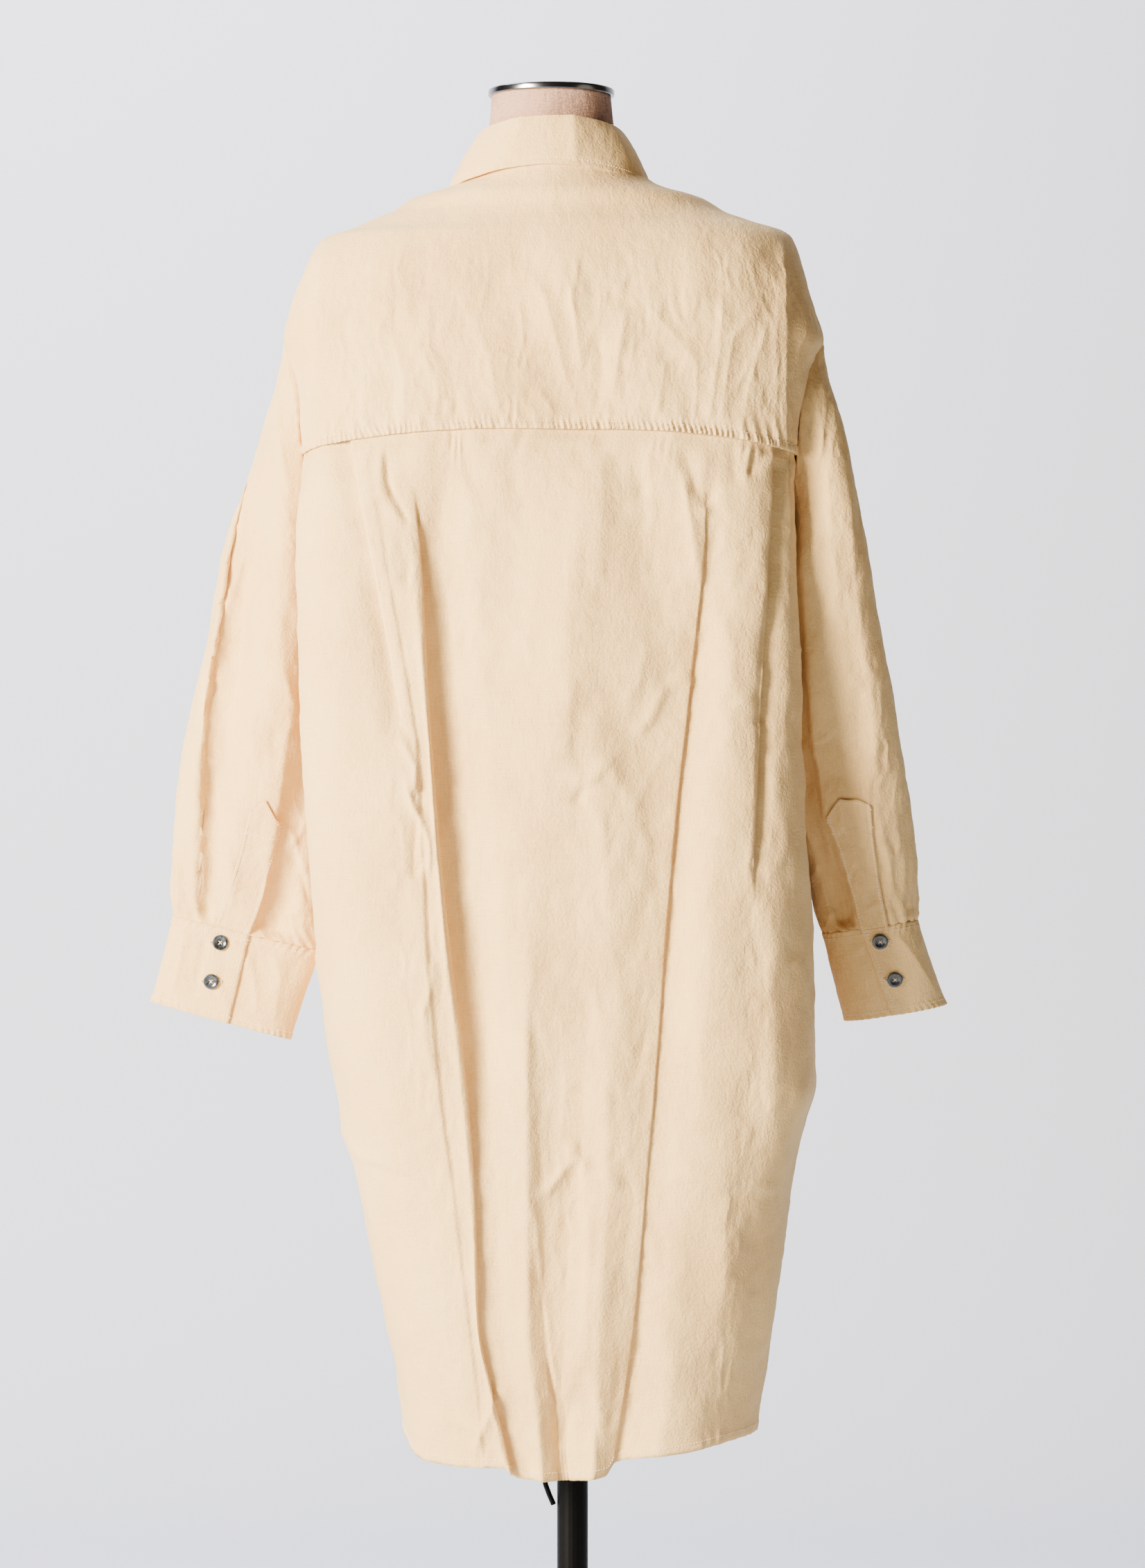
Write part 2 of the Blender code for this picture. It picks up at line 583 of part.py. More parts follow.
def front_grid(left):
    """Rows from the hem to the neckline, columns from the side to the front edge.

    The last columns of the right front are those that carry the button band.
    """
    over = -1 if left else 1
    run_start, run_end = FRONT_STEP_RUN
    grid = []
    for side_height in skirt_heights() + armhole_heights()[1:] + shoulder_heights():
        drop = ease((side_height - NECKLINE_DROP_START) / (NECKLINE_BACK - NECKLINE_DROP_START))
        drop *= NECKLINE_BACK - NECKLINE_FRONT
        share = (side_height - HEM_SIDE) / (ARMPIT - HEM_SIDE)
        centre_height = side_height - drop if share >= 1 else lerp(HEM_FRONT, ARMPIT, share)
        section = dress_section(centre_height)
        middle = front_centre(centre_height)
        end = -angle_at_x(section, middle + over * FRONT_LAP)
        band = -angle_at_x(section, middle + over * (FRONT_LAP - BAND_WIDTH))
        start = side_edge(side_height, left, False)
        near_start = side_edge(side_height, left, False, SEAM_BORDER)
        if not left:
            start, near_start = start - 2 * math.pi, near_start - 2 * math.pi
        row = []
        for angle in [start] + spread((near_start, band, end), (7, BAND_COLUMNS)):
            height = side_height - drop * ease((angle - start) / (end - start))
            if share < 1:
                height = lerp(hem_height(angle), ARMPIT, share)
            if side_height == NECKLINE_BACK:
                height = neckline(angle)
            x = cloth_point(angle, height)[0] - front_centre(height)
            covered = 1 - ease((x - FRONT_LAP - run_start) / (run_end - run_start)) if left else 0.0
            row.append(cloth_point(angle, height, FRONT_STEP * covered))
        row[0] = cloth_point(start, row[0][2] if side_height == NECKLINE_BACK else side_height)
        grid.append(row)
    return [row[::-1] for row in grid] if left else grid


def moved_out(grid, distance):
    """A grid of points moved along its own normals, to the outside of the body."""
    points = np.array([[tuple(p) for p in row] for row in grid])
    up = np.gradient(points, axis=0)
    around = np.gradient(points, axis=1)
    normal = np.cross(around, up)
    normal /= np.linalg.norm(normal, axis=2, keepdims=True)
    return points + normal * distance


def button_band(front):
    """The strip that carries the buttons, laid on the edge of the right front."""
    edge = moved_out(front, WALL + LAYER)[:, -BAND_COLUMNS - 1:]
    cloth("button_band", edge)
    return edge


# ---- sleeves ----
def ring_point(ring, angle):
    row = dict(zip(RING_COLUMNS, ring))
    along = (power(math.cos(angle), 2 / row["squareness"]) + 1) / 2
    x = lerp(row["x_in"], row["x_out"], along)
    z = lerp(row["z_in"], row["z_out"], along)
    y = row["y_mid"] + row["half_depth"] * power(math.sin(angle), 2 / row["squareness"])
    return np.array((x, y, z))


def armhole_point(left, angle):
    """The sleeve's own edge at the armhole, just outside the panels that it is sewn to."""
    height = ARMHOLE_HEIGHT + (ARMHOLE_HALF_HEIGHT - SEAM) * math.cos(angle)
    y = (ARMHOLE_HALF_DEPTH - SEAM) * math.sin(angle)
    section = dress_section(height)
    return cloth_point(angle_at_y(section, y, left), height)


def sleeve_relief(side, along, angle):
    """How far the sleeve's back sinks at its long folds."""
    if math.sin(angle) <= 0:
        return 0.0
    across = math.cos(angle)
    run = min(along / len(SLEEVE_RINGS[side]), 1.0)
    total = 0.0
    for values in SLEEVE_FOLDS[side]:
        row = dict(zip(SLEEVE_FOLD_COLUMNS, values))
        line = lerp(row["across_top"], row["across_cuff"], run)
        reach = row["reach_out"] if across > line else row["reach_in"]
        total += row["depth"] * bell(across - line, reach)
    start, full = SLEEVE_FOLDS_START
    total *= ease((run - start) / (full - start)) * ease((1.0 - run) / SLEEVE_FOLDS_END)
    return total * math.sin(angle)


def sleeve_point(side, along, angle, lift=0.0):
    """A point of the sleeve: along is 0 at the armhole and then counts the rings down to the cuff."""
    rings = [armhole_point(side == "left", angle)] + [ring_point(ring, angle) for ring in SLEEVE_RINGS[side]]
    stations = list(range(len(rings)))
    point = np.array([smooth_curve(stations, [p[axis] for p in rings], along) for axis in range(3)])
    outward = math.copysign(1.0, math.sin(angle))
    point[1] += outward * lift - sleeve_relief(side, along, angle)
    return point


def sleeve(side):
    """Rows from the cuff up to the armhole, around the whole sleeve."""
    end = len(SLEEVE_RINGS[side]) - CUFF_SEAM
    grid = []
    for along in spread((end, 1.0, 0.0), (11, 3)):
        turn = 2 * math.pi if side == "left" else -2 * math.pi
        grid.append([sleeve_point(side, along, turn * c / SLEEVE_COLUMNS) for c in range(SLEEVE_COLUMNS)])
    return cloth(side + "_sleeve", grid, closed=True)


def across_angle(across):
    """The angle on the back of a sleeve at a place between its inner and outer edges."""
    return math.acos(max(-1.0, min(1.0, across)))


def placket(side):
    """The pointed strip that edges the sleeve's slit, laid on the sleeve."""
    lap = dict(zip(LAP_COLUMNS, LAPS[side]))
    count = len(SLEEVE_RINGS[side])
    grid = []
    columns = spread((0.0, 0.5, 1.0), (2, 2))
    for up in spread((PLACKET_FOOT, 1.0), (7,)):
        row = []
        for t in columns:
            point_up = up * (PLACKET_LENGTH - PLACKET_POINT * abs(t - 0.5) * 2)
            inner = lerp(lap["lap_cuff"], lap["lap_top"], up)
            outer = lerp(lap["outer_cuff"], lap["outer_top"], up)
            angle = across_angle(lerp(outer, inner, t))
            row.append(sleeve_point(side, count - point_up, angle, WALL + LAYER * 2))
        grid.append(row if side == "left" else row[::-1])
    return cloth(side + "_placket", grid)


def cuff_point(side, down, angle, inset=0.0):
    """A point of the cuff: down is 0 at its seam and 1 at its edge. Inset moves it in, mostly along y."""
    rings = CUFF_RINGS[side]
    upper, lower = ring_point(rings[0], angle), ring_point(rings[1], angle)
    point = upper + (lower - upper) * down
    middle = (ring_point(rings[0], 0.0) + ring_point(rings[0], math.pi)) / 2
    middle += ((ring_point(rings[1], 0.0) + ring_point(rings[1], math.pi)) / 2 - middle) * down
    inwards = middle - point
    size = np.linalg.norm(inwards)
    flat = inwards * np.array((CUFF_INSET_SHARE, 1.0, CUFF_INSET_SHARE))
    return point + flat / np.linalg.norm(flat) * min(inset, size / 2)


def cuff(side):
    lap = dict(zip(LAP_COLUMNS, LAPS[side]))
    grid = []
    for down in spread((1.0, 0.0), (3,)):
        start = across_angle(lerp(lap["lap_cuff"], lap["lap_low"], down))
        covered = across_angle(lerp(lap["lap_cuff"], lap["lap_low"], down) + CUFF_UNDERLAP)
        row = []
        end = start - 2 * math.pi
        dive_start, dive_end = end + CUFF_DIVE[0], end + CUFF_DIVE[1]
        for angle in spread((start, 0.0, -math.pi, end + CUFF_LAST, covered - 2 * math.pi), (6, 8, 5, 3)):
            past = ease((dive_start - angle) / (dive_start - dive_end))
            row.append(cuff_point(side, down, angle, (WALL + LAYER * 2) * past))
        grid.append(row if side == "right" else row[::-1])
    return cloth(side + "_cuff", grid)


# ---- collar ----
def collar_loop(values, angle, inset):
    """A point of one of the collar's two loops around the neck."""
    row = dict(zip(COLLAR_COLUMNS, values))
    turn = math.sin(angle)
    front = ease(max(-turn, 0.0))
    centre = lerp(row["middle"], front_centre(FORM_TAKES_OVER[1]), front)
    x = centre + (row["half_width"] - inset) * math.cos(angle)
    y = (row["back" if turn >= 0 else "front"] - inset) * turn
    if turn >= 0:
        height = lerp(row["height_side"], row["height_back"], ease(turn))
    elif row["height_front"] is None:
        height = lerp(row["height_side"], resting_height(x, y) + EDGE_CLEAR, ease(-3 * turn))
    else:
        height = lerp(row["height_side"], row["height_front"], 1 - abs(math.cos(angle)))
    return np.array((x, y, height))


def collar_point(angle, down, inset=0.0):
    """A point of the fall: down is 0 at the fold and 1 at the outer edge. It rolls over at the fold."""
    fold, edge = collar_loop(COLLAR_FOLD, angle, inset), collar_loop(COLLAR_EDGE, angle, inset)
    point = lerp(fold, edge, math.sin(down * QUARTER) ** 1.25)
    point[2] = lerp(fold[2], edge[2], down ** 1.15)
    return point


def collar():
    start = -QUARTER + COLLAR_OPENING
    end = 3 * QUARTER - COLLAR_OPENING
    grid = []
    for down in spread((1.0, 0.0), (5,)):
        row = []
        for t in spread((0.0, 0.5, 1.0), (16, 16)):
            angle = lerp(start, end, t)
            # Each end slants from the stand out to the collar's point.
            slant = POINT_SLANT * down * (1 - ease(min(t, 1 - t) * 4))
            row.append(collar_point(angle + (slant if t < 0.5 else -slant), down))
        grid.append(row)
    return cloth("collar", grid)


def stand_point(angle, up, under=0.0):
    foot = cloth_point(angle, neckline(angle) + SEAM)
    top = collar_point(angle, 0.0, WALL + LAYER * 2)
    top[2] -= WALL + LAYER
    point = lerp(foot, top, up)
    point[1] += under
    return point


def collar_stand():
    """A band from the neckline up to the fold, its right end over its left at the front."""
    start = -QUARTER - STAND_LAP
    end = 3 * QUARTER + STAND_LAP
    grid = []
    for up in spread((0.0, 1.0), (3,)):
        row = []
        for angle in spread((start, -QUARTER + STAND_LAP, end), (3, 30)):
            under = (WALL + LAYER) * (1 - ease((angle - start - STAND_LAP) / (STAND_LAP * 2)))
            row.append(stand_point(angle, up, under))
        grid.append(row)
    return cloth("collar_stand", grid)


# ---- buttons ----
def button(name, centre, outward):
    """A round button whose back lies on the cloth's outer face, a layer's width away."""
    half = BUTTON_THICKNESS / 2
    profile = ((0.0, half), (BUTTON_RADIUS * 0.85, half), (BUTTON_RADIUS, half * 0.4),
               (BUTTON_RADIUS * 0.92, -half), (0.0, -half))
    thing = turned(name, profile, "shell", 12)
    z = np.array(outward) / np.linalg.norm(outward)
    x = np.cross((0.0, 0.0, 1.0), z)
    x /= np.linalg.norm(x)
    y = np.cross(z, x)
    place = np.array(centre) + z * (half + LAYER)
    turn = Matrix([tuple(row) for row in np.column_stack((x, y, z))])
    thing.matrix_world = Matrix.Translation(place) @ turn.to_4x4()
    return thing


def outward_at(surface, u, v, du, dv):
    """The unit normal of a surface function at u, v."""
    along_u = surface(u + du, v) - surface(u - du, v)
    along_v = surface(u, v + dv) - surface(u, v - dv)
    normal = np.cross(along_u, along_v)
    return normal / np.linalg.norm(normal)


def cuff_buttons(side):
    lap = dict(zip(LAP_COLUMNS, LAPS[side]))
    for number, down in enumerate(CUFF_BUTTONS, 1):
        across = lerp(lap["lap_cuff"], lap["lap_low"], down) + BUTTON_FROM_LAP
        angle = across_angle(across)
        normal = outward_at(lambda a, d: cuff_point(side, d, a), angle, down, 0.02, 0.05)
        normal *= math.copysign(1.0, normal[1])
        button(f"{side}_cuff_button_{number}", cuff_point(side, down, angle), normal)


def front_buttons(band):
    """One button on the collar stand and a column of them down the middle of the band."""
    top_normal = outward_at(stand_point, 3 * QUARTER, 0.5, 0.02, 0.1)
    button("front_button_1", stand_point(3 * QUARTER, 0.5), top_normal * -math.copysign(1.0, top_normal[1]))
    line = (band[:, 1] + band[:, 2]) / 2
    for number in range(2, FRONT_BUTTONS + 1):
        height = FRONT_BUTTON_TOP - FRONT_BUTTON_STEP * (number - 2)
        above = int(np.searchsorted(line[:, 2], height))
        share = (height - line[above - 1, 2]) / (line[above, 2] - line[above - 1, 2])
        normal = np.cross(band[above, 2] - band[above, 1], line[above] - line[above - 1])
        button(f"front_button_{number}", lerp(line[above - 1], line[above], share), normal)


# ---- the form and its stand ----
def form():
    heights = [row[0] for row in FORM]
    heights = spread(heights, [1, 2, 1, 2] + [1] * (len(heights) - 5))
    angles = [2 * math.pi * c / FORM_SIDES for c in range(FORM_SIDES)]
    grid = [[(*on_section(form_section(z), angle), z) for angle in angles] for z in heights]
    mesh = grid_mesh("form", grid, closed=True)
    thing = new_object("form", mesh, "linen")
    ends = bmesh_with_ends(mesh, FORM_SIDES)
    ends.to_mesh(mesh)
    ends.free()
    mesh.shade_smooth()
    return thing


def bmesh_with_ends(mesh, columns):
    """The open loft closed by a flat face at its bottom and its top."""
    shape = bmesh.new()
    shape.from_mesh(mesh)
    shape.verts.ensure_lookup_table()
    shape.faces.new([shape.verts[c] for c in range(columns)][::-1])
    shape.faces.new([shape.verts[len(shape.verts) - columns + c] for c in range(columns)])
    return shape


def neck_cap():
    low = FORM[-1][0] + LAYER
    top = low + CAP_THICKNESS
    bevel = 0.0012
    under = CAP_NECK_RADIUS
    profile = ((0.0, top), (CAP_RADIUS - bevel, top), (CAP_RADIUS, top - bevel), (CAP_RADIUS, low + 0.006),
               (CAP_RADIUS - bevel, low + 0.005), (under, low + 0.004), (under, low), (0.0, low))
    thing = turned("neck_cap", profile, "chrome", 32)
    thing.location.x = FORM[-1][-1]
    return thing


def stand():
    """The pole, its round base, and the clamp that sets the form's height."""
    low = BASE_THICKNESS + LAYER
    profile = ((0.0, FORM[0][0] - LAYER), (POLE_RADIUS, FORM[0][0] - LAYER), (POLE_RADIUS, low), (0.0, low))
    turned("pole", profile, "black_steel", 24)
    bevel = 0.003
    edge, top = BASE_RADIUS, BASE_THICKNESS
    chamfer = 0.001
    profile = ((0.0, top), (edge - bevel, top), (edge, top - bevel),
               (edge, chamfer), (edge - chamfer, 0.0), (0.0, 0.0))
    turned("base", profile, "black_steel", 40)
    inner, outer = POLE_RADIUS + LAYER, POLE_RADIUS + CLAMP_WALL
    corners = ((inner, CLAMP_TOP), (outer, CLAMP_TOP), (outer, CLAMP_BOTTOM), (inner, CLAMP_BOTTOM))
    profile = (*corners, corners[0])
    turned("clamp_ring", profile, "black_steel", 32)
    lever = bpy.data.curves.new("clamp_lever", "CURVE")
    lever.dimensions = "3D"
    lever.bevel_depth = LEVER_RADIUS
    lever.bevel_resolution = 2
    lever.use_fill_caps = True
    route = lever.splines.new("POLY")
    top = (CLAMP_TOP + CLAMP_BOTTOM) / 2
    steps = 7
    route.points.add(steps)
    for number, point in enumerate(route.points):
        t = number / steps
        bow = math.sin(t * math.pi) * LEVER_BOW
        x = lerp(outer + LEVER_RADIUS + LAYER, LEVER_END[0], t) + bow
        point.co = (x, 0.0, lerp(top, LEVER_END[1], t), 1.0)
    new_object("clamp_lever", lever, "black_steel")


# ---- the object ----
def clear_scene():
    for thing in list(bpy.data.objects):
        bpy.data.objects.remove(thing)


def make_materials():
    for name, (colour, roughness, metallic) in MATERIALS.items():
        material = bpy.data.materials.new(name)
        material.use_nodes = True
        shader = material.node_tree.nodes["Principled BSDF"]
        shader.inputs["Base Color"].default_value = colour
        shader.inputs["Roughness"].default_value = roughness
        shader.inputs["Metallic"].default_value = metallic


def main():
    clear_scene()
    make_materials()
    collection = bpy.data.collections.new("shirt_dress_on_form")
    bpy.context.scene.collection.children.link(collection)
    back_panel()
    cloth("yoke", yoke_grid())
    cloth("left_front", front_grid(True))
    right_front = front_grid(False)
    cloth("right_front", right_front)
    band = button_band(right_front)
    collar()
    collar_stand()
    for side in SLEEVE_RINGS:
        sleeve(side)
        placket(side)
        cuff(side)
        cuff_buttons(side)
    front_buttons(band)
    form()
    neck_cap()
    stand()


main()
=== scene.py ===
"""A cotton shirt dress on a limbless dress form, seen from behind.

Metres, +Z up, the floor is z = 0 and the pole stands on the origin. The front faces -Y and the
wearer's left is +X. Every panel is a grid of points on one draped surface with its creases
pressed in, and gets its thickness from a Solidify wall on the inside.
"""

import math

import bmesh
import bpy
import numpy as np
from mathutils import Matrix, Vector


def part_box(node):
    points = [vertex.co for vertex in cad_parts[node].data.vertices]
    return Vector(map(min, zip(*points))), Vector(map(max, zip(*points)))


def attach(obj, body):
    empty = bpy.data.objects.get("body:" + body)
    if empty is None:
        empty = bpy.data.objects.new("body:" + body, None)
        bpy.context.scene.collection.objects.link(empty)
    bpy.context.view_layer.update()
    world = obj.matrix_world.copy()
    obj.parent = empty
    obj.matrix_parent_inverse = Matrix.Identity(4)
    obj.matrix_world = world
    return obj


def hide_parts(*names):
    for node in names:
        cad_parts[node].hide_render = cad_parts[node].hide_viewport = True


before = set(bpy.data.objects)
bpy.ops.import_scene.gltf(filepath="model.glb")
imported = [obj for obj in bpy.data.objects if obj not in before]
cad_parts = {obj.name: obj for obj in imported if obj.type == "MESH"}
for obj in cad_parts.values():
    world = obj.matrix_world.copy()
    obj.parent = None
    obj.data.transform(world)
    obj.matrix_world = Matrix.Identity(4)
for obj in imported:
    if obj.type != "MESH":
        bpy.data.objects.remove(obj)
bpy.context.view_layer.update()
scene = bpy.context.scene

# ---- Camera ----
# A long lens at the height of the dress's middle, level and square to the back of the form.
CAMERA_DISTANCE = 4.0
CAMERA_HEIGHT = 0.900


def linked(name, data):
    """An object in the scene with this mesh, light or camera."""
    thing = bpy.data.objects.new(name, data)
    scene.collection.objects.link(thing)
    return thing


camera = linked("camera", bpy.data.cameras.new("camera"))
camera.data.sensor_width = 36.0
camera.data.lens = 111.96
camera.location = (0.0, CAMERA_DISTANCE, CAMERA_HEIGHT)
camera.rotation_euler = (math.radians(90), 0.0, math.radians(180))
scene.camera = camera

# ---- Studio ----
# A pale floor that curves up into a backdrop, a large soft key from the camera's upper left,
# and a weak fill. Neither the stage nor the lights are part of the object.


def to_linear(hex_colour):
    """An sRGB hex colour as linear red, green, blue and alpha."""
    channels = [int(hex_colour[i:i + 2], 16) / 255 for i in (1, 3, 5)]
    return (*[c / 12.92 if c <= 0.04045 else ((c + 0.055) / 1.055) ** 2.4 for c in channels], 1.0)


def add_node(tree, kind, settings=None, **links):
    """A node with its properties and sockets set; a linked socket is given as (node, output)."""
    node = tree.nodes.new(kind)
    for name, value in (settings or {}).items():
        if isinstance(name, str) and hasattr(node, name):
            setattr(node, name, value)
        else:
            node.inputs[name].default_value = value
    for name, (source, output) in links.items():
        socket = node.inputs[int(name[1:])] if name[1:].isdigit() else node.inputs[name.replace("_", " ")]
        tree.links.new(source.outputs[output], socket)
    return node


def new_material(name):
    """A material with its tree and its Principled shader."""
    material = bpy.data.materials.new(name)
    material.use_nodes = True
    return material, material.node_tree, material.node_tree.nodes["Principled BSDF"]


STAGE_WIDTH = 9.0
STAGE_FRONT = 6.0        # y of the floor's end behind the camera
STAGE_BACK = -2.6        # y of the backdrop
STAGE_HEIGHT = 5.0
STAGE_BEND = 0.8
bend = [(STAGE_BACK + STAGE_BEND * (1 - math.sin(a)), STAGE_BEND * (1 - math.cos(a)))
        for a in np.linspace(0, math.pi / 2, 12)]
profile = [(STAGE_FRONT, 0.0), *bend, (STAGE_BACK, STAGE_HEIGHT)]
stage_mesh = bpy.data.meshes.new("backdrop")
stage_mesh.from_pydata(
    [(x, y, z) for y, z in profile for x in (-STAGE_WIDTH / 2, STAGE_WIDTH / 2)], [],
    [(2 * i, 2 * i + 1, 2 * i + 3, 2 * i + 2) for i in range(len(profile) - 1)])
stage_mesh.shade_smooth()
backdrop = linked("backdrop", stage_mesh)
paper, _, paper_shader = new_material("matt_backdrop_paper")
paper_shader.inputs["Base Color"].default_value = to_linear("#d6ddeb")
paper_shader.inputs["Roughness"].default_value = 0.95
stage_mesh.materials.append(paper)

world = bpy.data.worlds.new("studio")
world.use_nodes = True
world.node_tree.nodes["Background"].inputs["Color"].default_value = to_linear("#ffe3c2")
world.node_tree.nodes["Background"].inputs["Strength"].default_value = 0.07
scene.world = world

LIGHTS = (
    # name, place, aim, size, watts, colour
    ("key_softbox", (2.22, 2.14, 1.50), (0.0, 0.0, 1.00), 1.3, 600.0, "#fff1d9"),
    ("fill_softbox", (-3.0, 1.4, 1.2), (0.0, 0.0, 0.9), 2.0, 10.0, "#ffeccf"),
    ("backdrop_light", (0.9, -0.9, 3.2), (0.9, -2.6, 0.8), 2.5, 165.0, "#f6f6ff"),
)
for name, place, aim, size, watts, colour in LIGHTS:
    light = bpy.data.lights.new(name, "AREA")
    light.shape = "DISK"
    light.size = size
    light.energy = watts
    light.color = to_linear(colour)[:3]
    lamp = linked(name, light)
    lamp.location = place
    lamp.rotation_mode = "QUATERNION"
    lamp.rotation_quaternion = (Vector(aim) - Vector(place)).to_track_quat("-Z", "Y")

# ---- Cotton ----
# The dress is one plain-woven cotton, garment washed: matt, a little fuzzy, with slubs in its
# threads and a fine crumple.
COTTON_LIT = "#e8c585"
COTTON_SLUB = "#d5aa6c"
THREAD_PITCH_MM = 1.1    # the real threads are 0.3 mm apart, too fine to show
SLUB_LENGTH_MM = 16.0
NAP_MM = 2.2
CRINKLE_MM = 14.0


def threads(tree, uv, across):
    """Uneven threads along one direction of the cloth, as a grey pattern."""
    long_way, short_way = 1000 / SLUB_LENGTH_MM, 1000 / THREAD_PITCH_MM
    scale = (long_way, short_way, 1.0) if across else (short_way, long_way, 1.0)
    stretch = add_node(tree, "ShaderNodeMapping", {"Scale": scale}, Vector=(uv, "UV"))
    return add_node(tree, "ShaderNodeTexNoise", {"Scale": 1.0, "Detail": 2.0, "Roughness": 0.6},
                    Vector=(stretch, "Vector"))


def woven(name, lit, slub, nap_strength):
    """A plain-woven cloth on the piece's UV map, which is in metres along its two threads."""
    material, tree, shader = new_material(name)
    uv = add_node(tree, "ShaderNodeTexCoord")
    weft, warp = threads(tree, uv, True), threads(tree, uv, False)
    weave = add_node(tree, "ShaderNodeMath", {"operation": "ADD"}, _0=(weft, "Fac"), _1=(warp, "Fac"))
    half = add_node(tree, "ShaderNodeMath", {"operation": "MULTIPLY", 1: 0.5}, _0=(weave, "Value"))
    blotches = add_node(tree, "ShaderNodeTexNoise", {"Scale": 14.0, "Detail": 3.0}, Vector=(uv, "Object"))
    both = add_node(tree, "ShaderNodeMix", {"data_type": "FLOAT", 0: 0.35},
                    _2=(half, "Value"), _3=(blotches, "Fac"))
    ramp = add_node(tree, "ShaderNodeValToRGB", None, _0=(both, 0))
    ramp.color_ramp.elements[0].position = 0.30
    ramp.color_ramp.elements[0].color = to_linear(slub)
    ramp.color_ramp.elements[1].position = 0.62
    ramp.color_ramp.elements[1].color = to_linear(lit)
    nap = add_node(tree, "ShaderNodeTexNoise", {"Scale": 1000 / NAP_MM, "Detail": 3.0, "Roughness": 0.55},
                   Vector=(uv, "Object"))
    upright = add_node(tree, "ShaderNodeMapping", {"Scale": (1.0, 1.0, 0.6)}, Vector=(uv, "Object"))
    folds = add_node(tree, "ShaderNodeTexNoise",
                     {"Scale": 1000 / CRINKLE_MM, "Detail": 3.0, "Distortion": 0.25},
                     Vector=(upright, "Vector"))
    centred = add_node(tree, "ShaderNodeMath", {"operation": "SUBTRACT", 1: 0.5}, _0=(folds, "Fac"))
    ridge = add_node(tree, "ShaderNodeMath", {"operation": "ABSOLUTE"}, _0=(centred, "Value"))
    crinkle = add_node(tree, "ShaderNodeBump", {"Strength": 0.55, "Distance": 0.0026},
                       Height=(ridge, "Value"))
    low = add_node(tree, "ShaderNodeBump", {"Strength": nap_strength, "Distance": 0.0012},
                   Height=(nap, "Fac"), Normal=(crinkle, "Normal"))
    bump = add_node(tree, "ShaderNodeBump", {"Strength": 0.22, "Distance": 0.0005},
                    Height=(half, "Value"), Normal=(low, "Normal"))
    tree.links.new(ramp.outputs["Color"], shader.inputs["Base Color"])
    tree.links.new(bump.outputs["Normal"], shader.inputs["Normal"])
    shader.inputs["Roughness"].default_value = 0.88
    shader.inputs["Specular IOR Level"].default_value = 0.25
    shader.inputs["Sheen Weight"].default_value = 0.12
    shader.inputs["Sheen Roughness"].default_value = 0.6
    return material


cotton = woven("washed_cotton_plain_weave", COTTON_LIT, COTTON_SLUB, 0.6)

# ---- The draped surface ----
# All the panels lie on one surface: level sections of the cloth below the shoulders, which pass
# into the form's own sections where the cloth rests on it.
REST = 0.0015
FRONT_REST = 0.0045
FORM_COLUMNS = ("height", "half_width", "back", "front", "squareness", "middle")
FORM = (
    (0.700, 0.140, 0.090, 0.088, 2.3, 0.000),
    (0.780, 0.153, 0.099, 0.096, 2.4, 0.002),
    (0.870, 0.146, 0.094, 0.092, 2.3, 0.004),
    (0.980, 0.117, 0.078, 0.082, 2.2, 0.006),
    (1.080, 0.130, 0.086, 0.104, 2.2, 0.007),
    (1.150, 0.144, 0.094, 0.121, 2.3, 0.008),
    (1.220, 0.160, 0.099, 0.113, 2.4, 0.009),
    (1.280, 0.178, 0.096, 0.092, 2.4, 0.009),
    (1.318, 0.188, 0.091, 0.078, 2.4, 0.010),
    (1.332, 0.187, 0.087, 0.072, 2.3, 0.010),
    (1.342, 0.182, 0.084, 0.068, 2.2, 0.010),
    (1.350, 0.173, 0.081, 0.065, 2.1, 0.010),
    (1.3585, 0.156, 0.078, 0.063, 2.0, 0.0105),
    (1.3665, 0.1355, 0.075, 0.061, 2.0, 0.011),
    (1.373, 0.1185, 0.072, 0.0595, 2.0, 0.012),
    (1.3805, 0.0895, 0.067, 0.058, 2.0, 0.0135),
    (1.386, 0.0770, 0.064, 0.0565, 2.0, 0.0140),
    (1.393, 0.0695, 0.061, 0.056, 2.0, 0.0150),
    (1.401, 0.0635, 0.059, 0.055, 2.0, 0.0155),
    (1.412, 0.057, 0.056, 0.053, 2.0, 0.016),
    (1.436, 0.0515, 0.0515, 0.0510, 2.0, 0.0170),
    (1.4625, 0.0490, 0.0490, 0.0490, 2.0, 0.0174),
)
DRESS_COLUMNS = ("height", "left", "right", "back", "front", "squareness")
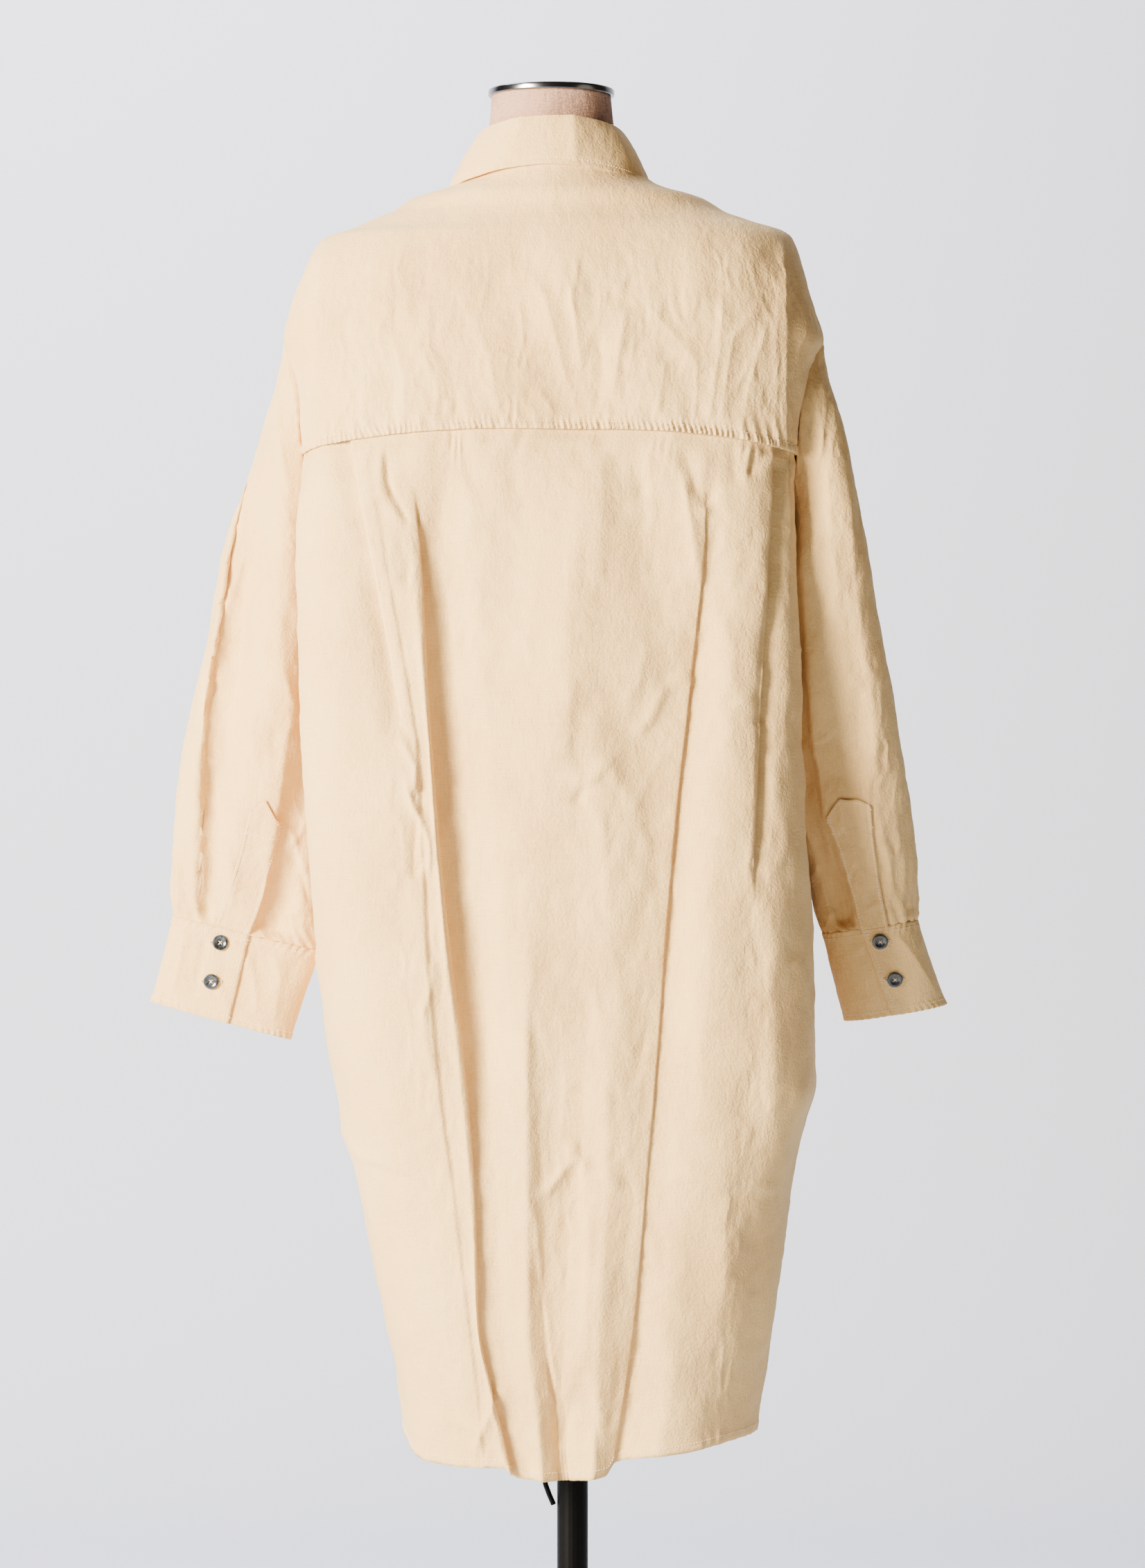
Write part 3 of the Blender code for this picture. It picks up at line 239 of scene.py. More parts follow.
DRESS = (
    (0.320, 0.127, -0.142, 0.108, 0.122, 2.3),
    (0.372, 0.136, -0.149, 0.111, 0.125, 2.5),
    (0.450, 0.150, -0.161, 0.120, 0.129, 2.9),
    (0.514, 0.163, -0.170, 0.127, 0.132, 3.3),
    (0.578, 0.176, -0.179, 0.132, 0.134, 3.7),
    (0.624, 0.187, -0.188, 0.136, 0.135, 4.0),
    (0.656, 0.193, -0.197, 0.138, 0.136, 4.2),
    (0.707, 0.201, -0.198, 0.140, 0.136, 4.4),
    (0.771, 0.210, -0.197, 0.141, 0.136, 4.5),
    (0.836, 0.215, -0.195, 0.140, 0.136, 4.6),
    (0.900, 0.221, -0.193, 0.138, 0.136, 4.6),
    (1.009, 0.227, -0.189, 0.132, 0.136, 4.6),
    (1.093, 0.229, -0.185, 0.125, 0.135, 4.5),
    (1.140, 0.226, -0.184, 0.120, 0.133, 4.2),
    (1.168, 0.224, -0.186, 0.117, 0.131, 3.9),
    (1.215, 0.226, -0.192, 0.112, 0.124, 3.4),
    (1.248, 0.2320, -0.2000, 0.109, 0.115, 3.0),
    (1.262, 0.2363, -0.2061, 0.108, 0.110, 2.8),
    (1.286, 0.2311, -0.1996, 0.106, 0.101, 2.8),
    (1.305, 0.2247, -0.1938, 0.102, 0.092, 2.8),
    (1.324, 0.2177, -0.1881, 0.097, 0.084, 2.7),
    (1.346, 0.2050, -0.1805, 0.0888, 0.072, 2.3),
    (1.352, 0.1865, -0.1735, 0.0855, 0.070, 2.1),
    (1.360, 0.1695, -0.1510, 0.0812, 0.068, 2.0),
)
FORM_TAKES_OVER = (1.352, 1.364)
# How far each side of the dress is drawn in beside its sleeve.
DENT_COLUMNS = ("height", "left", "right")
DENTS = (
    (0.760, 0.000, 0.000),
    (0.800, 0.012, 0.002),
    (0.860, 0.022, 0.018),
    (0.950, 0.026, 0.024),
    (1.040, 0.028, 0.022),
    (1.100, 0.026, 0.016),
    (1.140, 0.018, 0.009),
    (1.190, 0.000, 0.000),
)
DENT_MIDDLE = -0.005
DENT_REACH = 0.070


def smooth(xs, ys, x):
    """A smooth curve through a table's rows that never overshoots them."""
    xs, ys = np.asarray(xs, float), np.asarray(ys, float)
    step = np.diff(xs)
    slope = np.diff(ys) / step
    product, total = slope[:-1] * slope[1:], slope[:-1] + slope[1:]
    tangent = np.zeros_like(ys)
    tangent[1:-1] = np.where(product > 0, 2 * product / np.where(total == 0, 1, total), 0)
    tangent[0], tangent[-1] = slope[0], slope[-1]
    x = np.clip(x, xs[0], xs[-1])
    i = np.clip(np.searchsorted(xs, x, side="right") - 1, 0, len(xs) - 2)
    t = (x - xs[i]) / step[i]
    curve = step[i] * (t * (1 - t) ** 2 * tangent[i] - t * t * (1 - t) * tangent[i + 1])
    return ys[i] + (ys[i + 1] - ys[i]) * t * t * (3 - 2 * t) + curve


def look_up(rows, columns, at):
    table = np.array(rows, float)
    return {name: smooth(table[:, 0], table[:, i], at) for i, name in enumerate(columns) if i}


def ease(t):
    t = np.clip(t, 0.0, 1.0)
    return t * t * (3 - 2 * t)


def lerp(a, b, t):
    return a + (b - a) * t


def power(value, exponent):
    return np.copysign(np.abs(value) ** exponent, value)


def spread(values, counts):
    """Stations between each pair of values, each pair split into its own count."""
    runs = [np.linspace(a, b, n, endpoint=False) for a, b, n in zip(values, values[1:], counts)]
    return np.concatenate(runs + [values[-1:]])


def form_section(height):
    row = look_up(FORM, FORM_COLUMNS, height)
    row["left"] = row["middle"] + row["half_width"]
    row["right"] = row["middle"] - row["half_width"]
    return row


def dress_section(height):
    below = look_up(DRESS, DRESS_COLUMNS, height)
    form = form_section(height - REST)
    above = {"left": form["left"] + REST, "right": form["right"] - REST, "back": form["back"] + REST,
             "front": form["front"] + FRONT_REST, "squareness": form["squareness"]}
    share = ease((height - FORM_TAKES_OVER[0]) / (FORM_TAKES_OVER[1] - FORM_TAKES_OVER[0]))
    return {name: lerp(below[name], above[name], share) for name in above}


def on_section(section, angle):
    middle = (section["left"] + section["right"]) / 2
    half_width = (section["left"] - section["right"]) / 2
    depth = np.where(np.sin(angle) >= 0, section["back"], section["front"])
    exponent = 2 / section["squareness"]
    return middle + half_width * power(np.cos(angle), exponent), depth * power(np.sin(angle), exponent)


def angle_at_x(section, x):
    middle = (section["left"] + section["right"]) / 2
    half_width = (section["left"] - section["right"]) / 2
    return np.arccos(power(np.clip((x - middle) / half_width, -1, 1), section["squareness"] / 2))


def angle_at_y(section, y, left):
    depth = np.where(y >= 0, section["back"], section["front"])
    turn = np.arcsin(power(np.clip(y / depth, -1, 1), section["squareness"] / 2))
    return turn if left else math.pi - turn


def bell(distance, reach):
    return (1 - np.minimum(np.abs(distance) / reach, 1.0) ** 2) ** 2


def cloth_point(angle, height, sink=0.0):
    """Points of the dress's outer face as an array of x, y, z. Sink moves them in along y."""
    angle, height = np.broadcast_arrays(angle, height)
    x, y = on_section(dress_section(height), angle)
    level = np.abs(np.sin(angle)) ** 1.5
    side = np.cos(angle)
    dents = look_up(DENTS, DENT_COLUMNS, height)
    dent = np.where(side > 0, dents["left"], dents["right"])
    dent = dent * np.exp(-(np.abs(y - DENT_MIDDLE) / DENT_REACH) ** 4)
    x = x - np.sign(side) * dent * (1 - level)
    return np.stack([x, y - np.copysign(sink, y), height], -1)


# The edges of the panels on that surface, as the dress is cut.
ARMHOLE_HEIGHT = 1.187
ARMHOLE_HALF_HEIGHT = 0.075
ARMHOLE_HALF_DEPTH = 0.058
ARMHOLE_TOP = ARMHOLE_HEIGHT + ARMHOLE_HALF_HEIGHT
ARMPIT = ARMHOLE_HEIGHT - ARMHOLE_HALF_HEIGHT
HEM_FRONT = 0.350
HEM_SIDE = 0.372
# The back hem from the wearer's right (-1) to the left (1): the middle fall hangs lowest.
HEM_BACK = (
    (-1.0, HEM_SIDE), (-0.93, 0.372), (-0.80, 0.370), (-0.54, 0.364), (-0.18, 0.357), (-0.13, 0.346),
    (0.10, 0.342), (0.35, 0.344), (0.42, 0.353), (0.69, 0.352), (0.92, 0.356), (1.0, HEM_SIDE),
)
YOKE_SEAM_CENTRE = 1.183
YOKE_SEAM_DROP = 0.018
NECKLINE_BACK = 1.4040
NECKLINE_FRONT = 1.3500
SHOULDER_SEAM = -0.026
SHOULDER_TURN = 1.335
NECK_SLOPE = 1.362       # where the shoulders pass into the neck


def side_edge(height, left, back):
    """The angle where a panel ends at the side: side seam, then armhole, then shoulder seam."""
    share = np.clip((height - ARMHOLE_HEIGHT) / ARMHOLE_HALF_HEIGHT, -1, 1)
    hole = ARMHOLE_HALF_DEPTH * np.sqrt(1 - share * share) * (1 if back else -1)
    shoulder = SHOULDER_SEAM * ease((height - ARMHOLE_TOP) / (SHOULDER_TURN - ARMHOLE_TOP))
    return angle_at_y(dress_section(height), np.where(height >= ARMHOLE_TOP, shoulder, hole), left)


def hem_height(angle):
    front = lerp(HEM_FRONT, HEM_SIDE, np.abs(np.cos(angle)) ** 3)
    return np.where(np.sin(angle) >= 0, smooth(*zip(*HEM_BACK), power(np.cos(angle), 0.87)), front)


def yoke_seam(angle):
    return YOKE_SEAM_CENTRE - YOKE_SEAM_DROP * np.abs(np.cos(angle)) ** 1.6


def neckline(angle):
    front = lerp(NECKLINE_BACK, NECKLINE_FRONT, 1 - np.abs(np.cos(angle)))
    return np.where(np.sin(angle) >= 0, NECKLINE_BACK, front)


# Relief: what is pressed into a panel's points along their normals.
NOISE_CELLS = 32
noise_values = np.random.default_rng(7).uniform(-1, 1, (NOISE_CELLS,) * 3)


def rumple(points, size, shift=0.0):
    """Smooth noise from -1 to 1 whose bumps are about size metres apart along x, y and z."""
    p = points / np.asarray(size) + shift
    cell = np.floor(p).astype(int)
    t = p - cell
    t = t * t * t * (t * (t * 6 - 15) + 10)
    total = 0.0
    for corner in np.ndindex(2, 2, 2):
        weight = np.prod(np.where(np.array(corner) == 1, t, 1 - t), axis=-1)
        i, j, k = np.moveaxis((cell + corner) % NOISE_CELLS, -1, 0)
        total = total + weight * noise_values[i, j, k]
    return total * 1.6


def crumple(points, size, shift=0.0):
    """The same as sharp little ridges between soft hollows."""
    bends = np.stack([rumple(points, size, shift + n) for n in (3.1, 5.7, 9.3)], -1)
    bent = points + 0.4 * np.asarray(size) * bends
    return 1 - 2.6 * np.abs(rumple(bent, size, shift + 1.7))


def normals(grid):
    """Unit normals of a grid whose rows go up and whose columns go to the left turn."""
    up, around = np.gradient(grid, axis=0), np.gradient(grid, axis=1)
    normal = np.cross(around, up)
    return normal / np.maximum(np.linalg.norm(normal, axis=2, keepdims=True), 1e-12)


def crease(points, line, height, reach):
    """A pressed crease along a line of (x, z) points: sharp along the line, gone past its reaches.

    The reaches are to the line's left and right as it is drawn, and it fades at both ends.
    """
    x, z = points[..., 0], points[..., 2]
    line = np.array(line, float) / 1000
    lengths = np.hypot(*np.diff(line, axis=0).T)
    total = lengths.sum()
    best = np.full(x.shape, 1e9)
    side, along = np.zeros(x.shape), np.zeros(x.shape)
    done = 0.0
    for (x0, z0), (x1, z1), length in zip(line, line[1:], lengths):
        ux, uz = (x1 - x0) / length, (z1 - z0) / length
        t = np.clip((x - x0) * ux + (z - z0) * uz, 0, length)
        dx, dz = x - x0 - t * ux, z - z0 - t * uz
        distance = np.hypot(dx, dz)
        closer = distance < best
        best = np.where(closer, distance, best)
        side = np.where(closer, dx * uz - dz * ux, side)
        along = np.where(closer, (done + t) / total, along)
        done += length
    reach = np.where(side > 0, reach[0], reach[1]) / 1000
    fade = np.clip(4 * along * (1 - along) * 1.5, 0, 1) ** 0.7
    return height / 1000 * fade * np.exp(-np.sqrt(best ** 2 + 0.0007 ** 2) / reach * 1.3)


CREASE_DEPTH = 2.4       # how strongly the creases' heights below are pressed in


def pressed(points, creases):
    total = np.zeros(points.shape[:-1])
    for line, height, reach in creases:
        total += crease(points, line, height * CREASE_DEPTH, reach)
    return total


def washed(points, amount=1.0):
    """The cloth's own unevenness: broad swells, soft rumples and a fine sharp crumple."""
    swell = 0.0024 * rumple(points, (0.055, 0.055, 0.120))
    soft = 0.00080 * rumple(points, (0.020, 0.020, 0.036), 11.0)
    fine = 0.00032 * crumple(points, (0.014, 0.014, 0.028), 4.0)
    finest = 0.00014 * crumple(points, (0.0065, 0.0065, 0.010), 8.0)
    return amount * (swell + soft + fine + finest)


def edge_distance(grid, edge):
    """Each point's distance to one edge of the grid, along the grid's own lines."""
    axis = 0 if edge in ("bottom", "top") else 1
    steps = np.linalg.norm(np.diff(grid, axis=axis), axis=2)
    run = np.concatenate([np.zeros_like(np.take(steps, [0], axis)), np.cumsum(steps, axis)], axis)
    return run if edge in ("bottom", "left") else np.take(run, [-1], axis) - run


def pucker(grid, edge, width, height, pitch):
    """Gathers that a line of stitching draws in beside the bottom or top edge."""
    away = edge_distance(grid, edge)
    run = edge_distance(grid, "left")
    middle = run[run.shape[0] // 2][None, :]
    phase = middle / pitch * 2 * math.pi + 2.2 * rumple(grid, pitch * 3.0, 2.0)
    strength = 0.65 + 0.35 * rumple(grid, pitch * 6, 6.0)
    return height * strength * np.sin(phase + away / width * 3.2) * np.exp(-(away / width) ** 2)


HEM_TURN = 0.008


def turned_hem(grid):
    """The hem's double thickness, with the puckers that its stitching draws in."""
    up = edge_distance(grid, "bottom")
    fold = 0.0005 * (1 - ease((up - HEM_TURN) / 0.002))
    return fold + pucker(grid, "bottom", 0.010, 0.0007, 0.0075) + pucker(grid, "bottom", 0.020, 0.0006, 0.019)


def armhole_groove(grid):
    """The dip beside the armhole seams at both sides of a panel."""
    beside = np.minimum(edge_distance(grid, "left"), edge_distance(grid, "right"))
    inside = ease((grid[..., 2] - ARMPIT) / 0.01) * ease((ARMHOLE_TOP + 0.004 - grid[..., 2]) / 0.006)
    return (0.0010 * np.exp(-(beside / 0.0028) ** 2) - 0.0005 * bell(beside - 0.0065, 0.004)) * inside


# Each finished panel: its grid, made a mesh with a UV map in metres.
WALL = 0.0009


def panel_mesh(name, grid, closed=False):
    rows, columns = grid.shape[:2]
    wrap = columns if closed else columns - 1
    r, c = np.meshgrid(np.arange(rows - 1), np.arange(wrap), indexing="ij")
    d = (c + 1) % columns
    corners = (r * columns + c, r * columns + d, (r + 1) * columns + d, (r + 1) * columns + c)
    mesh = bpy.data.meshes.new(name)
    mesh.from_pydata(grid.reshape(-1, 3), [], np.stack(corners, -1).reshape(-1, 4))
    across = edge_distance(grid, "left")[rows // 2]
    up = edge_distance(grid, "bottom")[:, columns // 2]
    step = np.linalg.norm(grid[rows // 2, -1] - grid[rows // 2, 0])
    across = np.append(across, across[-1] + step)
    uv = np.stack([across[np.stack([c, c + 1, c + 1, c], -1)], up[np.stack([r, r, r + 1, r + 1], -1)]], -1)
    mesh.uv_layers.new(name="cloth").data.foreach_set("uv", uv.reshape(-1))
    mesh.shade_smooth()
    return mesh


def cloth_piece(name, grid, node, closed=False, wall=WALL):
    """A finished panel that stands for its solid, with its wall inside its outer face."""
    mesh = panel_mesh(name + "_cloth", grid, closed)
    mesh.materials.append(cotton)
    piece = linked(name + "_cloth", mesh)
    thickness = piece.modifiers.new("Wall", "SOLIDIFY")
    thickness.thickness = wall
    thickness.offset = -1.0
    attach(piece, "root")
    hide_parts(node)


# ---- Back panel ----
# One width of cloth, pleated outwards near both sides and sewn under the yoke. It hangs free in
# three overlapping falls: the wearer's left lies over the middle, and the middle over the right.
FALL_COLUMNS = ("height", "left_edge", "left_drop", "right_edge", "right_drop", "crest")
FALLS = (
    (0.340, 0.046, 0.015, -0.031, 0.016, 0.014),
    (0.400, 0.060, 0.014, -0.040, 0.014, 0.012),
    (0.463, 0.073, 0.013, -0.048, 0.012, 0.009),
    (0.600, 0.079, 0.014, -0.060, 0.011, 0.006),
    (0.690, 0.087, 0.017, -0.068, 0.013, 0.003),
    (0.770, 0.097, 0.020, -0.074, 0.015, 0.000),
    (0.870, 0.107, 0.021, -0.083, 0.016, 0.000),
    (0.980, 0.115, 0.020, -0.095, 0.015, 0.000),
    (1.060, 0.119, 0.015, -0.103, 0.012, 0.000),
    (1.120, 0.125, 0.008, -0.108, 0.008, 0.000),
    (1.160, 0.132, 0.002, -0.110, 0.001, 0.000),
    (1.185, 0.134, 0.000, -0.111, 0.000, 0.000),
)
# Across each fall, from its edge in metres, and how far in as a share of its drop.
LEFT_FALL = (
    (0.034, -0.14), (0.020, -0.12), (0.011, -0.04), (0.0045, 0.06), (0.0010, 0.16), (0.0000, 0.26),
    (0.0008, 0.38), (0.0020, 0.50), (0.0016, 0.60), (-0.0004, 0.66), (-0.0055, 0.82), (-0.015, 1.00),
    (-0.030, 0.72), (-0.046, 0.24),
)
RIGHT_FALL = (
    (0.050, 0.10), (0.034, 0.28), (0.018, 0.52), (0.0070, 0.70), (0.0014, 0.77), (0.0000, 0.81),
    (0.0010, 0.86), (0.0022, 0.93), (0.0000, 0.99), (-0.0040, 1.00), (-0.012, 0.80), (-0.024, 0.40),
    (-0.038, 0.10),
)
FALLS_GAP = 0.006        # least room on each side of the middle fall's crest
PLEAT_GAP = 0.003        # least room between a fall and the pleat beside it
PLEAT_COLUMNS = ("x_top", "x_end", "z_end", "underlay")
PLEATS = {"left_pleat": (0.176, 0.134, 0.93, 0.016), "right_pleat": (-0.163, -0.144, 0.80, 0.018)}
PLEAT_TOP = 1.168
PLEAT_UNDER = {"left_pleat": 0.0026, "right_pleat": 0.0036}
PLEAT_OPENS = 0.80
BACK_TUCK = 0.004        # of its top edge, up under the yoke
BACK_LOWEST = 0.346      # the height that the lowest row's folds are looked up at
BACK_COLUMNS = 172
BACK_ROWS = 252


def pleat_stations(name, height):
    """x and sink through a pleat, from its centre side outwards, at one height."""
    row = dict(zip(PLEAT_COLUMNS, PLEATS[name]))
    outwards = 1 if row["x_top"] > 0 else -1
    share = (PLEAT_TOP - height) / (PLEAT_TOP - row["z_end"])
    edge = lerp(row["x_top"], row["x_end"], min(share, 1.0)) * outwards
    if share > 1:
        side = "left" if outwards > 0 else "right"
        edge *= dress_section(height)[side] / dress_section(row["z_end"])[side]
    opened = ease((share - PLEAT_OPENS) / (1 - PLEAT_OPENS))
    under = row["underlay"] * lerp(1.0, 0.45, np.clip(share, 0.0, 1.0))
    gap = PLEAT_UNDER[name]
    folded = ((-0.0100, 0.0), (-0.0030, 0.0), (-0.0006, 0.1 * gap), (0.0, 0.5 * gap), (-0.0012, gap),
              (-under, gap), (-under - 0.0006, 1.5 * gap), (-under, 2 * gap), (0.0016, 2 * gap),
              (0.0120, 0.8 * gap))
    flat = np.linspace(folded[0][0], folded[-1][0], len(folded))
    return [(outwards * (edge + lerp(x, open_x, opened)), sink * (1 - opened))
            for (x, sink), open_x in zip(folded, flat)]


def flattened(fall, drop):
    """A fall's stations, spread out evenly where it is still shallow under the yoke."""
    open_share = 1 - ease(drop / 0.012)
    even = np.linspace(fall[0][0], fall[-1][0], len(fall))
    return [(lerp(x, flat, open_share), sink) for (x, sink), flat in zip(fall, even)]


def outward(points):
    """Directions out of the whole dress, which all the layers of a fold share."""
    section = dress_section(points[..., 2])
    half_width = (section["left"] - section["right"]) / 2
    depth = np.where(points[..., 1] >= 0, section["back"], section["front"])
    u = (points[..., 0] - (section["left"] + section["right"]) / 2) / half_width
    v = points[..., 1] / depth
    exponent = section["squareness"] - 1
    direction = np.stack([power(u, exponent) / half_width, power(v, exponent) / depth, 0 * u], -1)
    return direction / np.linalg.norm(direction, axis=-1, keepdims=True)


def back_stations(height, side_height):
    """Angles and sinks across the back panel at one height, from the wearer's left to the right."""
    section = dress_section(height)
    fall = {name: float(value) for name, value in look_up(FALLS, FALL_COLUMNS, height).items()}
    left_pleat = pleat_stations("left_pleat", height)[::-1]
    right_pleat = pleat_stations("right_pleat", height)
    start, end = side_edge(side_height, True, True), side_edge(side_height, False, True)
    left_edge, right_edge = fall["left_edge"], fall["right_edge"]
    middle = (left_edge + right_edge) / 2
    left_squeeze = right_squeeze = 1.0
    if right_edge + RIGHT_FALL[0][0] > left_edge + LEFT_FALL[-1][0] - 0.008:
        # The middle fall is narrower here than the two profiles: both draw in towards its crest.
        left_squeeze = (left_edge - middle - FALLS_GAP) / (-LEFT_FALL[-1][0])
        right_squeeze = (middle - FALLS_GAP - right_edge) / RIGHT_FALL[0][0]
    left_share = min(1.0, (left_pleat[-1][0] - left_edge - PLEAT_GAP) / LEFT_FALL[0][0])
    right_share = min(1.0, (right_edge - right_pleat[0][0] - PLEAT_GAP) / -RIGHT_FALL[-1][0])
    across = list(left_pleat)
    for x, sink in flattened(LEFT_FALL, fall["left_drop"]):
        across.append((left_edge + x * (left_squeeze if x < 0 else left_share), sink * fall["left_drop"]))
    inner_left = across[-1][0]
    inner_right = right_edge + RIGHT_FALL[0][0] * right_squeeze
    for t in (0.25, 0.5, 0.75):
        across.append((lerp(inner_left, inner_right, t), 0.0))
    for x, sink in flattened(RIGHT_FALL, fall["right_drop"]):
        across.append((right_edge + x * (right_squeeze if x > 0 else right_share), sink * fall["right_drop"]))
    across += right_pleat
    xs, sinks = np.array(across).T
    half = max((left_edge - right_edge) / 2, 0.01)
    sinks = sinks - fall["crest"] * bell(xs - middle, half + 0.004)
    angles = angle_at_x(section, xs)
    before = np.linspace(start, angles[0], 5)[:-1]
    after = np.linspace(angles[-1], end, 5)[1:]
    return np.concatenate([before, angles, after]), np.concatenate([before * 0, sinks, after * 0])


def back_columns():
    """Where the fine columns fall among the stations: close together across folds."""
    stations = len(back_stations(0.7, 0.7)[0])
    pleat, left = 10, len(LEFT_FALL)
    weights = np.ones(stations - 1)
    weights[:4] = weights[-4:] = 3.2
    first = 4 + pleat
    weights[4:first] = 1.3
    weights[first:first + 3] = 2.4
    weights[first + left - 3:first + left + 3] = 4.2
    weights[first + left + 3:first + left + 6] = 3.4
    weights[-(4 + pleat + 3):-(4 + pleat)] = 2.6
    weights[-(4 + pleat):-4] = 1.3
    marks = np.concatenate([[0], np.cumsum(weights)])
    return np.interp(np.linspace(0, marks[-1], BACK_COLUMNS), marks, np.arange(stations))


BACK_CREASES = (
    # line of x and z in mm, height in mm, reaches in mm to the line's left and right
    (((149, 1167), (148, 1141), (141, 1125), (129, 1106)), -2.2, (5, 3)),
    (((153, 1167), (152, 1141), (146, 1126), (134, 1104)), 1.2, (6, 5)),
    (((170, 1117), (157, 1127), (148, 1136)), 1.2, (7, 5)),
    (((142, 1104), (144, 1080), (140, 1050)), 1.0, (5, 5)),
    (((137, 937), (131, 925), (125, 913), (126, 899)), 1.8, (7, 4)),
    (((134, 897), (126, 899), (122, 897)), 2.6, (4, 5)),
    (((131, 896), (128, 886), (119, 868), (114, 855), (113, 842), (115, 826)), 3.0, (5, 3)),
    (((126, 894), (121, 880), (124, 858), (127, 826)), -1.8, (4, 6)),
    (((127, 826), (118, 842)), -1.5, (4, 4)),
    (((206, 886), (182, 891), (151, 895), (132, 897)), 0.9, (4, 7)),
    (((205, 881), (182, 886), (152, 889)), -0.8, (6, 4)),
    (((106, 902), (60, 905), (35, 905), (2, 908)), -0.35, (3, 4)),
    (((2, 985), (6, 940), (8, 908)), 1.8, (6, 4)),
    (((-5, 1168), (-3, 1100), (3, 1060), (6, 1019), (4, 958), (6, 909)), 1.3, (10, 5)),
    (((-24, 1165), (-22, 1080), (-15, 1039)), 1.0, (7, 7)),
    (((-50, 1168), (-56, 1137), (-55, 1125)), -1.8, (4, 5)),
    (((-34, 1168), (-36, 1145)), -1.4, (4, 4)),
    (((-6, 1168), (-8, 1150)), -1.4, (4, 4)),
    (((22, 1172), (24, 1150)), -1.1, (4, 4)),
    (((64, 1172), (62, 1140), (58, 1110)), 1.0, (8, 8)),
    (((84, 1172), (80, 1135)), -1.0, (6, 6)),
    (((-88, 1155), (-88, 1141), (-95, 1094), (-99, 1060)), 1.6, (7, 4)),
    (((-88, 1170), (-99, 1133), (-106, 1117)), -2.2, (5, 4)),
    (((-118, 1170), (-112, 1135), (-107, 1120)), -1.6, (4, 5)),
    (((-99, 1133), (-105, 1118), (-110, 1123)), 1.6, (4, 4)),
    (((-76, 981), (-95, 987)), 1.6, (4, 5)),
    (((-48, 939), (-62, 950), (-76, 982)), 1.7, (7, 5)),
    (((-40, 960), (-52, 980), (-60, 1015)), 0.9, (8, 8)),
    (((6, 909), (-13, 901), (-30, 919), (-34, 895)), 1.8, (5, 5)),
    (((-1, 884), (-15, 901)), -1.8, (5, 4)),
    (((-34, 915), (-50, 880), (-60, 840)), 1.0, (8, 6)),
    (((-20, 893), (-26, 850), (-28, 800)), 0.8, (8, 8)),
    (((-115, 1040), (-126, 1007), (-128, 975)), 1.0, (6, 8)),
    (((-148, 968), (-140, 966), (-128, 965)), 1.4, (3, 4)),
    (((-150, 958), (-149, 946)), -1.0, (4, 3)),
    (((-115, 1165), (-122, 1110), (-118, 1060)), 0.9, (8, 8)),
    (((-150, 1165), (-142, 1145)), -1.3, (4, 4)),
    (((-133, 1168), (-130, 1140)), -1.2, (4, 5)),
    (((110, 760), (111, 740), (120, 712)), 1.6, (6, 5)),
    (((118, 730), (116, 700), (110, 668)), 0.9, (8, 8)),
    (((150, 829), (149, 814)), -1.2, (3, 3)),
    (((60, 760), (58, 710), (50, 640), (48, 628)), 0.7, (8, 3)),
    (((200, 640), (173, 602), (155, 597), (127, 588)), 1.2, (6, 5)),
    (((172, 596), (150, 590), (128, 583)), -1.0, (5, 6)),
    (((74, 594), (48, 584), (33, 581)), 0.7, (4, 5)),
    (((29, 571), (19, 577), (-1, 604), (-10, 597), (-6, 587)), 2.2, (6, 5)),
    (((-1, 604), (2, 612), (-6, 614)), 1.6, (4, 4)),
    (((-6, 587), (-27, 587), (-42, 582)), 1.5, (5, 6)),
    (((33, 577), (26, 520), (19, 464), (12, 406)), 0.9, (7, 3)),
    (((-13, 588), (-11, 520), (-9, 429)), 1.9, (9, 5)),
    (((-9, 435), (0, 400), (10, 372)), -1.6, (5, 6)),
    (((-13, 423), (-18, 390), (-22, 360)), -1.2, (5, 5)),
    (((55, 424), (66, 395), (79, 362)), 2.6, (8, 5)),
    (((-53, 590), (-50, 490)), 0.5, (4, 4)),
    (((-77, 591), (-105, 586), (-129, 582), (-165, 575)), 1.2, (5, 5)),
    (((-85, 584), (-129, 575), (-162, 568)), -1.0, (6, 7)),
    (((158, 540), (143, 500), (128, 440)), 0.9, (10, 10)),
    (((140, 470), (128, 440), (116, 415)), 1.0, (6, 6)),
    (((109, 394), (80, 386), (50, 380)), 0.9, (4, 5)),
    (((100, 384), (78, 374), (60, 370)), -0.8, (4, 4)),
    (((40, 378), (10, 368), (-22, 366)), 0.8, (4, 5)),
    (((-110, 700), (-118, 600), (-122, 470)), 0.7, (14, 14)),
    (((-158, 800), (-160, 700), (-160, 600)), 0.8, (12, 12)),
    (((-166, 1172), (-159, 1080), (-151, 982), (-147, 864), (-145, 800)), -1.7, (1.6, 1.2)),
    (((180, 1166), (158, 1060), (133, 935)), -1.3, (1.4, 1.2)),
    (((170, 860), (165, 780), (150, 700)), 0.8, (16, 16)),
    (((183, 1060), (181, 1000), (177, 930)), 0.9, (9, 9)),
    (((167, 1010), (160, 960), (150, 925)), 1.0, (8, 8)),
    (((190, 990), (184, 940), (180, 905)), 0.8, (8, 8)),
)
